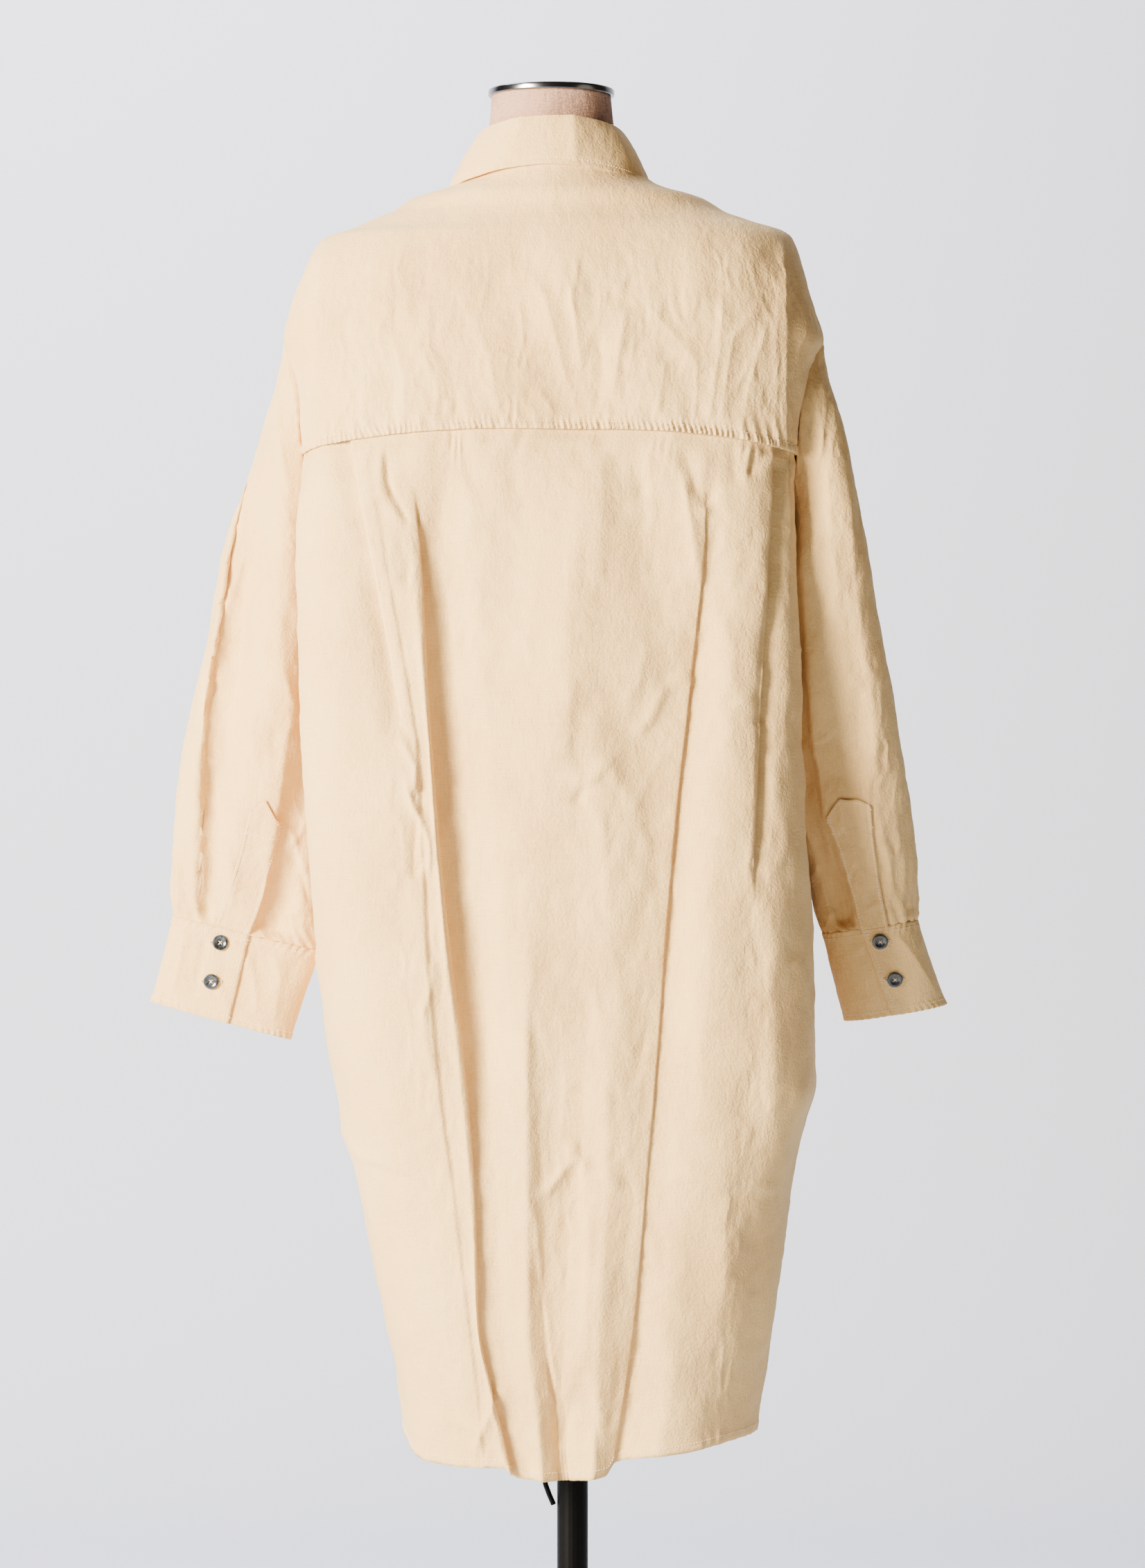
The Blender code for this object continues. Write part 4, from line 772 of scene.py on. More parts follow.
BACK_SWELLS = (
    # x and z of the middle in mm, half width, half height, how far it stands out, lean of x along z
    (52, 1020, 20, 150, -3.6, -0.04),
    (25, 1040, 22, 150, 1.6, 0.02),
    (-6, 1075, 26, 110, 3.0, 0.03),
    (-62, 1070, 20, 90, -2.4, 0.20),
    (-60, 905, 26, 60, -2.0, 0.30),
    (-86, 930, 16, 60, 1.6, 0.12),
    (150, 1020, 12, 90, -2.0, 0.20),
    (165, 900, 22, 70, 1.8, 0.05),
    (38, 760, 24, 110, 2.2, 0.06),
    (-8, 740, 18, 120, -1.8, 0.02),
    (-35, 700, 16, 90, 1.8, 0.05),
    (-105, 760, 12, 120, 1.5, 0.00),
    (-135, 700, 18, 120, -2.0, 0.02),
    (20, 470, 18, 80, -1.8, 0.06),
    (-70, 480, 16, 90, 1.8, 0.04),
    (-105, 450, 16, 90, -2.2, 0.03),
    (120, 560, 20, 90, -1.8, 0.12),
    (100, 470, 14, 90, 1.8, 0.14),
)


def swollen(points, swells):
    """Broad soft ridges and hollows."""
    total = np.zeros(points.shape[:-1])
    for *in_mm, lean in swells:
        x, z, half_width, half_height, height = np.array(in_mm) * 0.001
        up = points[..., 2] - z
        across = (points[..., 0] - x - lean * up) / half_width
        total += height * np.exp(-across ** 2 - (up / half_height) ** 2)
    return total


def back_grid():
    seam_side = YOKE_SEAM_CENTRE - YOKE_SEAM_DROP + BACK_TUCK
    marks = back_columns()
    rows = []
    for side_height in np.linspace(HEM_SIDE, seam_side, BACK_ROWS):
        share = (side_height - HEM_SIDE) / (seam_side - HEM_SIDE)
        angles, sinks = back_stations(lerp(BACK_LOWEST, YOKE_SEAM_CENTRE, share), side_height)
        places = np.arange(len(angles))
        angle, sink = smooth(places, angles, marks), smooth(places, sinks, marks)
        height = lerp(hem_height(angle), yoke_seam(angle) + BACK_TUCK, share)
        height[0] = height[-1] = side_height
        rows.append(cloth_point(angle, height, sink))
    return np.array(rows)


grid = back_grid()
relief = pressed(grid, BACK_CREASES) + swollen(grid, BACK_SWELLS) + turned_hem(grid)
relief += pucker(grid, "top", 0.024, 0.0016, 0.013)
# Above the yoke's seam the panel is tucked in beneath the yoke.
below_seam = ease((edge_distance(grid, "top") - BACK_TUCK) / 0.010)
relief = relief * below_seam + washed(grid) - 0.0017 * (1 - below_seam)
relief -= armhole_groove(grid)
back_points = grid + outward(grid) * relief[..., None]
cloth_piece("back_panel", back_points, "back_panel")

# ---- Yoke ----
# A second, shorter piece over the shoulders. Its lower edge is turned in and topstitched 7 mm up,
# and the stitching draws the band beneath it into fine slanting puckers.
NECKLINE_DROP_START = 1.25
NECK_LIFT = 0.005        # the collar's stand holds the cloth off the form around the neck
NECK_LIFT_START = 1.366
YOKE_COLUMNS = 420
YOKE_TURN = 1.35         # of the sine that spaces the columns out, in radians
YOKE_EVEN_TOP = 1.340    # above this the columns pass to equal angles
YOKE_CALM_TOP = 1.352    # the cloth is smoother towards the neck
YOKE_CREASES = (
    (((200, 1346), (203, 1290), (205, 1230), (206, 1160)), 1.7, (12, 4)),
    (((-171, 1346), (-171, 1290), (-171, 1230), (-171, 1160)), 1.7, (4, 12)),
    (((144, 1325), (141, 1290), (141, 1249)), -0.7, (5, 5)),
    (((143, 1258), (135, 1224), (134, 1186)), 1.5, (12, 6)),
    (((78, 1272), (65, 1230), (60, 1200)), 1.1, (12, 8)),
    (((38, 1314), (22, 1286), (5, 1224), (-4, 1200)), 1.5, (10, 7)),
    (((2, 1300), (-3, 1262), (-7, 1230)), 1.6, (6, 5)),
    (((-43, 1280), (-36, 1244), (-32, 1205)), 2.0, (12, 9)),
    (((-58, 1284), (-80, 1261), (-105, 1230)), 1.4, (7, 8)),
    (((-119, 1296), (-117, 1249), (-109, 1190)), 1.7, (9, 5)),
    (((-145, 1278), (-128, 1258), (-119, 1190)), 1.3, (6, 6)),
    (((-156, 1272), (-142, 1220), (-136, 1186)), 1.1, (7, 6)),
    (((-100, 1290), (-131, 1294), (-172, 1306)), -1.0, (6, 5)),
    (((112, 1292), (120, 1250), (106, 1206)), 0.9, (10, 10)),
    (((160, 1230), (166, 1205), (165, 1184)), 0.9, (6, 6)),
    (((96, 1225), (92, 1200), (95, 1186)), -0.9, (6, 6)),
    (((30, 1215), (20, 1205), (12, 1190)), 1.0, (5, 5)),
    (((-20, 1262), (-24, 1230), (-18, 1195)), -1.0, (6, 6)),
    (((-75, 1240), (-70, 1212), (-66, 1190)), 0.9, (6, 6)),
    (((-165, 1300), (-163, 1250), (-164, 1190)), 0.8, (6, 6)),
)


def neck_lift(grid):
    return NECK_LIFT * ease((grid[..., 2] - NECK_LIFT_START) / 0.012)


def yoke_grid():
    lowest = YOKE_SEAM_CENTRE - YOKE_SEAM_DROP
    sides = spread(np.array([lowest, lowest + 0.010, ARMHOLE_TOP, SHOULDER_TURN, NECK_SLOPE, NECKLINE_BACK]),
                   (6, 34, 26, 14, 26))
    rows = []
    for side_height in sides:
        start, end = side_edge(side_height, True, True), side_edge(side_height, False, True)
        lift = max((ARMHOLE_TOP - side_height) / (ARMHOLE_TOP - lowest), 0.0)
        # Columns are evenly spaced across the back and turn with the shoulder at both ends.
        section = dress_section(side_height)
        left_x, right_x = on_section(section, start)[0], on_section(section, end)[0]
        middle, half = (left_x + right_x) / 2, (left_x - right_x) / 2
        t = np.linspace(-1, 1, YOKE_COLUMNS)
        even = angle_at_x(section, middle - half * np.sin(t * YOKE_TURN) / math.sin(YOKE_TURN) * 0.9999)
        straight = lerp(start, end, (t + 1) / 2)
        share = ease((side_height - YOKE_EVEN_TOP) / 0.03)
        angle = lerp(lerp(even, straight, np.abs(t) ** 6), straight, share)
        height = side_height + (yoke_seam(angle) - lowest) * lift
        if side_height == NECKLINE_BACK:
            height = neckline(angle)
        rows.append(cloth_point(angle, height))
    return np.array(rows)


grid = yoke_grid()
up = edge_distance(grid, "bottom")
calm = ease((YOKE_CALM_TOP - grid[..., 2]) / 0.05)
relief = pressed(grid, YOKE_CREASES) * 0.7 * ease(up / 0.012) + washed(grid, 0.9) * (0.25 + 0.75 * calm)
relief += 0.0006 * ease(up / 0.002) * ease((0.0095 - up) / 0.003)
relief += pucker(grid, "bottom", 0.0075, 0.0014, 0.0046) + pucker(grid, "bottom", 0.018, 0.0008, 0.014)
relief -= 0.0010 * bell(up - 0.0072, 0.0022) + armhole_groove(grid)
relief += neck_lift(grid)
yoke_points = grid + normals(grid) * (relief[..., None] + 0.0004)
cloth_piece("yoke", yoke_points, "yoke")

# ---- Fronts and button band ----
# Two plain fronts, the right over the left, and the turned band that carries the buttons.
FRONT_LAP = 0.016        # of each front past the centre line
FRONT_STEP = 0.0018      # the left front sinks this much under the right one
FRONT_STEP_RUN = (0.002, 0.016)
FRONT_CALM_TOP = 1.345
CENTRE_LEANS = (0.60, 0.90)
BAND_WIDTH = 0.032
FRONT_FOLD_HEIGHTS = (0.36, 0.79, 1.15)
FRONT_FOLD_COLUMNS = (
    "x_low", "x_mid", "x_top", "depth_low", "depth_mid", "depth_top", "reach_left", "reach_right")
FRONT_FOLDS = (
    (0.084, 0.100, 0.090, 0.026, 0.018, 0.000, 0.030, 0.034),
    (-0.078, -0.088, -0.075, 0.026, 0.020, 0.000, 0.034, 0.030),
    (0.045, 0.058, 0.060, -0.012, -0.006, 0.000, 0.030, 0.030),
    (-0.045, -0.050, -0.045, -0.012, -0.006, 0.000, 0.030, 0.030),
)
FOLDS_START = (1.130, 1.185)
FRONT_CREASES = (
    (((60, 1290), (80, 1250), (110, 1200)), 1.4, (10, 8)),
    (((-55, 1285), (-80, 1240), (-105, 1190)), 1.4, (8, 10)),
    (((70, 1180), (75, 1080), (70, 980)), 1.3, (9, 9)),
    (((-60, 1190), (-72, 1070), (-66, 960)), 1.2, (9, 9)),
    (((130, 1140), (120, 1080), (124, 1010)), 1.4, (8, 7)),
    (((-128, 1150), (-120, 1085), (-126, 1000)), 1.3, (7, 8)),
    (((180, 960), (120, 940), (70, 950)), 1.2, (6, 6)),
    (((-170, 950), (-115, 930), (-60, 945)), 1.1, (6, 6)),
    (((190, 900), (110, 898), (30, 903)), 0.5, (4, 5)),
    (((-175, 898), (-100, 902), (-30, 900)), 0.5, (4, 5)),
    (((150, 860), (140, 780), (146, 700)), 1.2, (10, 10)),
    (((-140, 860), (-150, 760), (-140, 680)), 1.2, (10, 10)),
    (((180, 600), (110, 588), (40, 592)), 0.9, (5, 5)),
    (((-175, 596), (-100, 590), (-35, 598)), 0.9, (5, 5)),
    (((50, 560), (56, 480), (52, 400)), 1.1, (8, 6)),
    (((-48, 570), (-52, 470), (-50, 400)), 1.1, (6, 8)),
    (((125, 520), (112, 450), (108, 390)), 1.3, (8, 8)),
    (((-120, 530), (-112, 450), (-104, 392)), 1.3, (8, 8)),
)


def front_centre(height):
    low, high = CENTRE_LEANS
    return form_section(height)["middle"] * ease((height - low) / (high - low))


def front_folds(x, height):
    total = 0.0
    low, high = FOLDS_START
    for values in FRONT_FOLDS:
        row = dict(zip(FRONT_FOLD_COLUMNS, values))
        line = smooth(FRONT_FOLD_HEIGHTS, (row["x_low"], row["x_mid"], row["x_top"]), height)
        depth = smooth(FRONT_FOLD_HEIGHTS, (row["depth_low"], row["depth_mid"], row["depth_top"]), height)
        reach = np.where(x > line, row["reach_left"], row["reach_right"])
        total = total + depth * ease((high - height) / (high - low)) * bell(x - line, reach)
    return total


def front_grid(left):
    """Rows from the hem to the neckline, columns from the side to the front edge."""
    over = -1 if left else 1
    run_start, run_end = FRONT_STEP_RUN
    rows = []
    sides = spread(np.array([HEM_SIDE, ARMPIT, ARMHOLE_TOP, SHOULDER_TURN, NECK_SLOPE, NECKLINE_BACK]),
                   (104, 32, 20, 12, 18))
    for side_height in sides:
        drop = ease((side_height - NECKLINE_DROP_START) / (NECKLINE_BACK - NECKLINE_DROP_START))
        drop *= NECKLINE_BACK - NECKLINE_FRONT
        share = (side_height - HEM_SIDE) / (ARMPIT - HEM_SIDE)
        centre_height = side_height - drop if share >= 1 else lerp(HEM_FRONT, ARMPIT, share)
        section = dress_section(centre_height)
        end = -angle_at_x(section, front_centre(centre_height) + over * FRONT_LAP)
        start = side_edge(side_height, left, False)
        if not left:
            start = start - 2 * math.pi
        angle = spread(np.array([start, lerp(start, end, 0.25), end]), (24, 62))
        height = side_height - drop * ease((angle - start) / (end - start))
        if share < 1:
            height = lerp(hem_height(angle), ARMPIT, share)
        if side_height == NECKLINE_BACK:
            height = neckline(angle)
        else:
            height[0] = side_height
        bare = cloth_point(angle, height)
        past = bare[:, 0] - front_centre(height) - FRONT_LAP
        covered = 1 - ease((past - run_start) / (run_end - run_start))
        sink = front_folds(bare[:, 0], height) * np.abs(np.sin(angle)) ** 1.5
        rows.append(cloth_point(angle, height, sink + (FRONT_STEP * covered if left else 0.0)))
    grid = np.array(rows)
    return grid[:, ::-1] if left else grid


front_points = {}
for side, left in (("left", True), ("right", False)):
    grid = front_grid(left)
    edge_calm = ease(edge_distance(grid, "left" if left else "right") / 0.05)
    top_calm = ease((FRONT_CALM_TOP - grid[..., 2]) / 0.05)
    relief = pressed(grid, FRONT_CREASES) + washed(grid)
    relief = relief * (0.15 + 0.85 * edge_calm) * (0.3 + 0.7 * top_calm)
    relief += turned_hem(grid) + neck_lift(grid)
    front_points[side] = grid + normals(grid) * relief[..., None]
    cloth_piece(side + "_front", front_points[side], side + "_front")

# The band lies on the right front's edge, a little thicker in its middle.
BAND_COLUMNS = 14
away = edge_distance(front_points["right"], "right")
band = np.array([[[np.interp(d, from_edge[::-1], row[::-1, axis]) for axis in range(3)]
                  for d in np.linspace(BAND_WIDTH, 0.0, BAND_COLUMNS)]
                 for row, from_edge in zip(front_points["right"], away)])
band_relief = 0.0012 + 0.0003 * np.sin(np.linspace(0, math.pi, BAND_COLUMNS))
band = band + normals(band) * band_relief[None, :, None]
cloth_piece("button_band", band, "button_band")

# ---- Sleeves ----
# Long sleeves set low on the shoulder, each one tube with long soft pleats from its cuff.
RING_COLUMNS = ("x_in", "z_in", "x_out", "z_out", "y_mid", "half_depth", "squareness")
SLEEVE_RINGS = {
    "left": (
        (0.2085, 1.088, 0.2485, 1.218, 0.000, 0.0570, 2.2),
        (0.2095, 1.055, 0.2665, 1.156, -0.002, 0.0590, 2.2),
        (0.2095, 1.010, 0.2833, 1.098, -0.004, 0.0580, 2.2),
        (0.2095, 0.960, 0.2968, 1.030, -0.007, 0.0550, 2.2),
        (0.2080, 0.910, 0.3092, 0.972, -0.010, 0.0500, 2.2),
        (0.2060, 0.865, 0.3182, 0.915, -0.013, 0.0430, 2.2),
        (0.2055, 0.822, 0.3247, 0.858, -0.016, 0.0350, 2.2),
        (0.2078, 0.788, 0.3283, 0.818, -0.018, 0.0260, 2.3),
        (0.2096, 0.7634, 0.3284, 0.7918, -0.019, 0.0190, 2.4),
    ),
    "right": (
        (-0.1750, 1.088, -0.2165, 1.218, 0.000, 0.0570, 2.2),
        (-0.1735, 1.050, -0.2295, 1.148, 0.003, 0.0600, 3.2),
        (-0.1730, 1.005, -0.2415, 1.085, 0.003, 0.0600, 3.2),
        (-0.1730, 0.958, -0.2535, 1.015, 0.000, 0.0590, 3.2),
        (-0.1740, 0.915, -0.2633, 0.958, -0.005, 0.0560, 3.2),
        (-0.1790, 0.875, -0.2718, 0.904, -0.011, 0.0520, 3.2),
        (-0.1885, 0.838, -0.2778, 0.858, -0.017, 0.0470, 2.4),
        (-0.1988, 0.803, -0.2812, 0.817, -0.024, 0.0430, 2.2),
        (-0.2069, 0.7773, -0.2827, 0.7884, -0.026, 0.0400, 2.2),
    ),
}
SLEEVE_FOLD_COLUMNS = (
    "across_top", "across_cuff", "depth_top", "depth_cuff", "way", "reach_top", "reach_cuff")
SLEEVE_FOLDS = {
    "left": ((1.00, 0.56, 0.044, 0.004, 1, 1.70, 0.30), (-1.03, -0.08, 0.013, 0.011, 1, 0.80, 0.70)),
    "right": ((1.25, 0.65, 0.006, 0.005, -1, 0.40, 0.40), (-0.47, -0.28, 0.013, 0.012, 1, 0.70, 0.70)),
}
SLEEVE_CREASES = {
    "left": (
        (((296, 1000), (283, 1040), (262, 1100)), 1.5, (6, 9)),
        (((306, 935), (304, 860), (303, 790)), 1.0, (3, 6)),
        (((322, 860), (321, 820), (322, 796)), 1.3, (3, 5)),
        (((262, 1060), (250, 1000), (262, 930)), 1.3, (10, 9)),
        (((240, 1010), (228, 960), (232, 900)), 1.4, (9, 8)),
        (((270, 980), (262, 940), (256, 905)), 1.2, (8, 6)),
        (((290, 905), (283, 868), (278, 800)), 1.4, (7, 6)),
        (((237, 870), (226, 850), (218, 825)), 1.8, (6, 6)),
        (((232, 842), (222, 825), (214, 800)), -1.6, (6, 5)),
        (((215, 880), (222, 860), (236, 846)), 1.4, (5, 6)),
        (((296, 842), (290, 820), (290, 796)), -1.2, (4, 5)),
        (((240, 1215), (236, 1180), (228, 1130)), 1.2, (8, 8)),
        (((232, 1250), (220, 1225), (216, 1190)), 1.4, (7, 7)),
    ),
    "right": (
        (((-266, 925), (-272, 880), (-274, 800)), 1.2, (6, 3)),
        (((-222, 1150), (-226, 1080), (-236, 1000)), 1.0, (8, 9)),
        (((-205, 1180), (-208, 1100), (-216, 1030)), 1.2, (9, 9)),
        (((-236, 1010), (-244, 950), (-246, 905)), 1.0, (8, 8)),
        (((-200, 900), (-206, 870), (-214, 830)), 1.2, (8, 7)),
        (((-212, 905), (-218, 885), (-218, 860)), 1.2, (6, 6)),
        (((-246, 885), (-256, 840), (-262, 800)), 1.2, (6, 6)),
        (((-200, 1240), (-203, 1200), (-200, 1160)), 1.0, (7, 7)),
    ),
}
SLEEVE_COLUMNS = 150
SLEEVE_ROWS = 165


def ring_point(ring, angle):
    row = dict(zip(RING_COLUMNS, ring))
    along = (power(np.cos(angle), 2 / row["squareness"]) + 1) / 2
    x = lerp(row["x_in"], row["x_out"], along)
    z = lerp(row["z_in"], row["z_out"], along)
    y = row["y_mid"] + row["half_depth"] * power(np.sin(angle), 2 / row["squareness"])
    return np.stack([x, y, z], -1)


def armhole_point(left, angle):
    """The sleeve's edge, a little inside the armhole's own edge so that the seam is closed."""
    height = ARMHOLE_HEIGHT + ARMHOLE_HALF_HEIGHT * np.cos(angle)
    y = ARMHOLE_HALF_DEPTH * np.sin(angle)
    return cloth_point(angle_at_y(dress_section(height), y, left), height)


def sleeve_relief(side, along, angle):
    run = np.minimum(along / len(SLEEVE_RINGS[side]), 1.0)
    across, back = np.cos(angle), np.maximum(np.sin(angle), 0.0)
    total = 0.0
    # Each fold has a sharp edge and is hollow for its reach past it, behind the arm only.
    for values in SLEEVE_FOLDS[side]:
        row = dict(zip(SLEEVE_FOLD_COLUMNS, values))
        past = (lerp(row["across_top"], row["across_cuff"], run) - across) * row["way"]
        reach = lerp(row["reach_top"], row["reach_cuff"], run)
        hollow = 0.35 + 0.65 * bell(past - 0.32 * reach, reach / 2)
        depth = lerp(row["depth_top"], row["depth_cuff"], run)
        total = total + depth * hollow * ease(1 + past / 0.02) * ease((reach - past) / reach * 1.6)
    return total * ease((run - 0.12) / 0.25) * ease((1.0 - run) / 0.05) * back


def sleeve_point(side, along, angle):
    """Points of the sleeve: along is 0 at the armhole and counts the rings down to the cuff."""
    along, angle = np.broadcast_arrays(along, angle)
    flat_along, flat_angle = along.ravel(), angle.ravel()
    rings = [ring_point(ring, flat_angle) for ring in SLEEVE_RINGS[side]]
    rings = np.array([armhole_point(side == "left", flat_angle), *rings])
    lower = np.clip(np.floor(flat_along).astype(int), 0, len(rings) - 2)
    t = (flat_along - lower)[:, None]
    pick = np.arange(len(flat_along))

    def slope_at(i):
        before, after = np.clip(i - 1, 0, len(rings) - 1), np.clip(i + 1, 0, len(rings) - 1)
        return (rings[after, pick] - rings[before, pick]) / np.maximum(after - before, 1)[:, None]

    a, b = rings[lower, pick], rings[lower + 1, pick]
    point = (2 * t ** 3 - 3 * t ** 2 + 1) * a + (t ** 3 - 2 * t ** 2 + t) * slope_at(lower)
    point += (3 * t ** 2 - 2 * t ** 3) * b + (t ** 3 - t ** 2) * slope_at(lower + 1)
    point[:, 1] -= sleeve_relief(side, flat_along, flat_angle)
    return point.reshape(*along.shape, 3)


sleeve_points = {}
for side in SLEEVE_RINGS:
    turn = 2 * math.pi if side == "left" else -2 * math.pi
    end = len(SLEEVE_RINGS[side]) + 0.10
    along = spread(np.array([end, 1.0, 0.0]), (SLEEVE_ROWS - 26, 25))[:, None]
    angle = (turn * np.arange(SLEEVE_COLUMNS) / SLEEVE_COLUMNS)[None, :]
    # The tube starts at its inner edge, so that the seam of the grid is hidden against the body.
    grid = sleeve_point(side, np.minimum(along, len(SLEEVE_RINGS[side])), angle + math.pi)
    normal = normals(np.concatenate([grid[:, -1:], grid, grid[:, :1]], 1))[:, 1:-1]
    calm = ease(along / 0.25) * (0.35 + 0.65 * ease((end - along) / 0.3))
    behind = np.clip(normal[..., 1] + 0.3, 0, 1)
    relief = (pressed(grid, SLEEVE_CREASES[side]) * behind + washed(grid, 1.15)) * calm
    relief += pucker(grid, "top", 0.014, 0.0008, 0.012) + pucker(grid, "bottom", 0.022, 0.0014, 0.012)
    relief -= 0.0011 * np.exp(-(edge_distance(grid, "top") / 0.003) ** 2)
    grid = grid + normal * relief[..., None]
    sleeve_points[side] = grid
    cloth_piece(side + "_sleeve", grid, side + "_sleeve", closed=True)

# ---- Cuffs ----
# Two layers of cloth, buttoned over at the back of the wrist; the outer end laps over the inner.
CUFF_RINGS = {
    "left": (SLEEVE_RINGS["left"][-1], (0.2337, 0.6900, 0.3479, 0.7209, -0.023, 0.0200, 2.4)),
    "right": (SLEEVE_RINGS["right"][-1], (-0.2252, 0.7043, -0.3085, 0.7176, -0.040, 0.0370, 2.2)),
}
LAP_COLUMNS = ("lap_low", "lap_cuff", "lap_top", "outer_cuff", "outer_top")
LAPS = {"left": (-0.10, -0.04, -0.37, 0.34, 0.00), "right": (-0.10, -0.22, -0.30, 0.28, 0.17)}
CUFF_UNDERLAP = 0.35
CUFF_DIVE = (0.55, 0.15)         # before the lap's end, where the under layer sinks in
CUFF_INSET_SHARE = 0.15
CUFF_SINK = 0.0022
CUFF_CREASES = {
    "left": (
        (((318, 784), (322, 755), (330, 726)), 1.0, (5, 5)),
        (((300, 778), (306, 750), (312, 722)), -0.8, (5, 5)),
        (((272, 768), (262, 745), (258, 712)), 1.0, (4, 5)),
        (((246, 765), (240, 740), (246, 704)), 0.9, (5, 5)),
    ),
    "right": (
        (((-262, 780), (-276, 762), (-300, 725)), 0.9, (4, 5)),
        (((-232, 770), (-240, 745), (-248, 712)), 0.8, (4, 4)),
    ),
}
CUFF_WALL = 0.0016


def cuff_point(side, down, angle, inset=0.0):
    """Points of the cuff: down is 0 at its seam and 1 at its edge. Inset moves them in."""
    down, angle, inset = np.broadcast_arrays(down, angle, inset)
    rings = CUFF_RINGS[side]
    upper, lower = ring_point(rings[0], angle), ring_point(rings[1], angle)
    point = lerp(upper, lower, down[..., None])
    middles = [(ring_point(ring, np.array(0.0)) + ring_point(ring, np.array(math.pi))) / 2 for ring in rings]
    inwards = lerp(middles[0], middles[1], down[..., None]) - point
    flat = inwards * np.array((CUFF_INSET_SHARE, 1.0, CUFF_INSET_SHARE))
    size = np.linalg.norm(inwards, axis=-1)
    return point + flat / np.linalg.norm(flat, axis=-1)[..., None] * np.minimum(inset, size / 2)[..., None]


def across_angle(across):
    return np.arccos(np.clip(across, -1.0, 1.0))


cuff_points = {}
for side in CUFF_RINGS:
    lap = dict(zip(LAP_COLUMNS, LAPS[side]))
    rows = []
    for down in np.linspace(1.0, 0.0, 44):
        lap_across = lerp(lap["lap_cuff"], lap["lap_low"], down)
        start = across_angle(lap_across)
        end = start - 2 * math.pi
        covered = across_angle(lap_across + CUFF_UNDERLAP) - 2 * math.pi
        angle = spread(np.array([start, 0.0, -math.pi, end, covered]), (48, 70, 46, 16))
        past = ease((end + CUFF_DIVE[0] - angle) / (CUFF_DIVE[0] - CUFF_DIVE[1]))
        rows.append(cuff_point(side, down, angle, CUFF_SINK * past))
    grid = np.array(rows)
    if side == "left":
        grid = grid[:, ::-1]
    relief = pressed(grid, CUFF_CREASES[side]) * (grid[..., 1] > CUFF_RINGS[side][0][4]) + washed(grid, 0.45)
    relief += 0.0004 * np.exp(-(edge_distance(grid, "bottom") / 0.004) ** 2)
    relief += pucker(grid, "bottom", 0.006, 0.0007, 0.006) + pucker(grid, "top", 0.007, 0.0008, 0.0065)
    relief += 0.0006
    cuff_points[side] = grid + normals(grid) * relief[..., None]
    cloth_piece(side + "_cuff", cuff_points[side], side + "_cuff", wall=CUFF_WALL)

# ---- Sleeve plackets ----
# A folded strip with a pointed top that edges the slit above each cuff.
PLACKET_LENGTH = 3.05
PLACKET_POINT = 0.30
placket_points = {}
for side in SLEEVE_RINGS:
    lap = dict(zip(LAP_COLUMNS, LAPS[side]))
    rows = []
    for up in np.linspace(0.0, 1.0, 90):
        t = np.linspace(0, 1, 19)
        point_up = up * (PLACKET_LENGTH - PLACKET_POINT * np.abs(t - 0.5) * 2)
        inner = lerp(lap["lap_cuff"], lap["lap_top"], up)
        outer = lerp(lap["outer_cuff"], lap["outer_top"], up)
        along = len(SLEEVE_RINGS[side]) - point_up
        rows.append(sleeve_point(side, along, across_angle(lerp(outer, inner, t))))
    grid = np.array(rows)
    if side == "right":
        grid = grid[:, ::-1]
    relief = pressed(grid, SLEEVE_CREASES[side]) + washed(grid, 1.15)
    edges = np.minimum(edge_distance(grid, "left"), edge_distance(grid, "right"))
    relief += 0.0022 - 0.0004 * bell(edges - 0.0035, 0.0014)
    placket_points[side] = grid + normals(grid) * relief[..., None]
    cloth_piece(side + "_placket", placket_points[side], side + "_placket")

# ---- Collar and its stand ----
# A shirt collar of two layers that falls over its stand and rolls at the fold.
COLLAR_COLUMNS = ("middle", "half_width", "back", "front", "height_back", "height_side", "height_front")
COLLAR_FOLD = (0.0178, 0.0590, 0.0590, 0.0650, 1.4405, 1.4345, 1.3790)
COLLAR_EDGE = (0.0185, 0.0845, 0.0685, 0.0970, 1.4000, 1.3868, None)     # its front rests on the dress
COLLAR_FRONT = 1.347     # the height of the centre line under the collar's front
EDGE_CLEAR = 0.0035
COLLAR_OPENING = math.radians(5)
POINT_SLANT = math.radians(24)
STAND_LAP = math.radians(14)
STAND_GAP = 0.0016       # under the fold, and between the stand's two ends
COLLAR_WALL = 0.0014
COLLAR_CREASES = (
    (((1, 1446), (-1, 1425), (-2, 1402)), 1.3, (14, 10)),
    (((40, 1443), (44, 1425), (50, 1405)), 0.6, (9, 9)),
    (((-30, 1436), (-38, 1420), (-48, 1400)), 0.7, (8, 8)),
)


def resting_height(x, y):
    """The height of the cloth over the shoulders and chest at points of the plan."""
    low, high = np.full(np.shape(x), 1.20), np.full(np.shape(x), 1.42)
    for _ in range(14):
        height = (low + high) / 2
        section = dress_section(height)
        across = (x - (section["left"] + section["right"]) / 2) * 2 / (section["left"] - section["right"])
        depth = y / np.where(y >= 0, section["back"], section["front"])
        outside = np.abs(across) ** section["squareness"] + np.abs(depth) ** section["squareness"] > 1
        low, high = np.where(outside, low, height), np.where(outside, height, high)
    return low


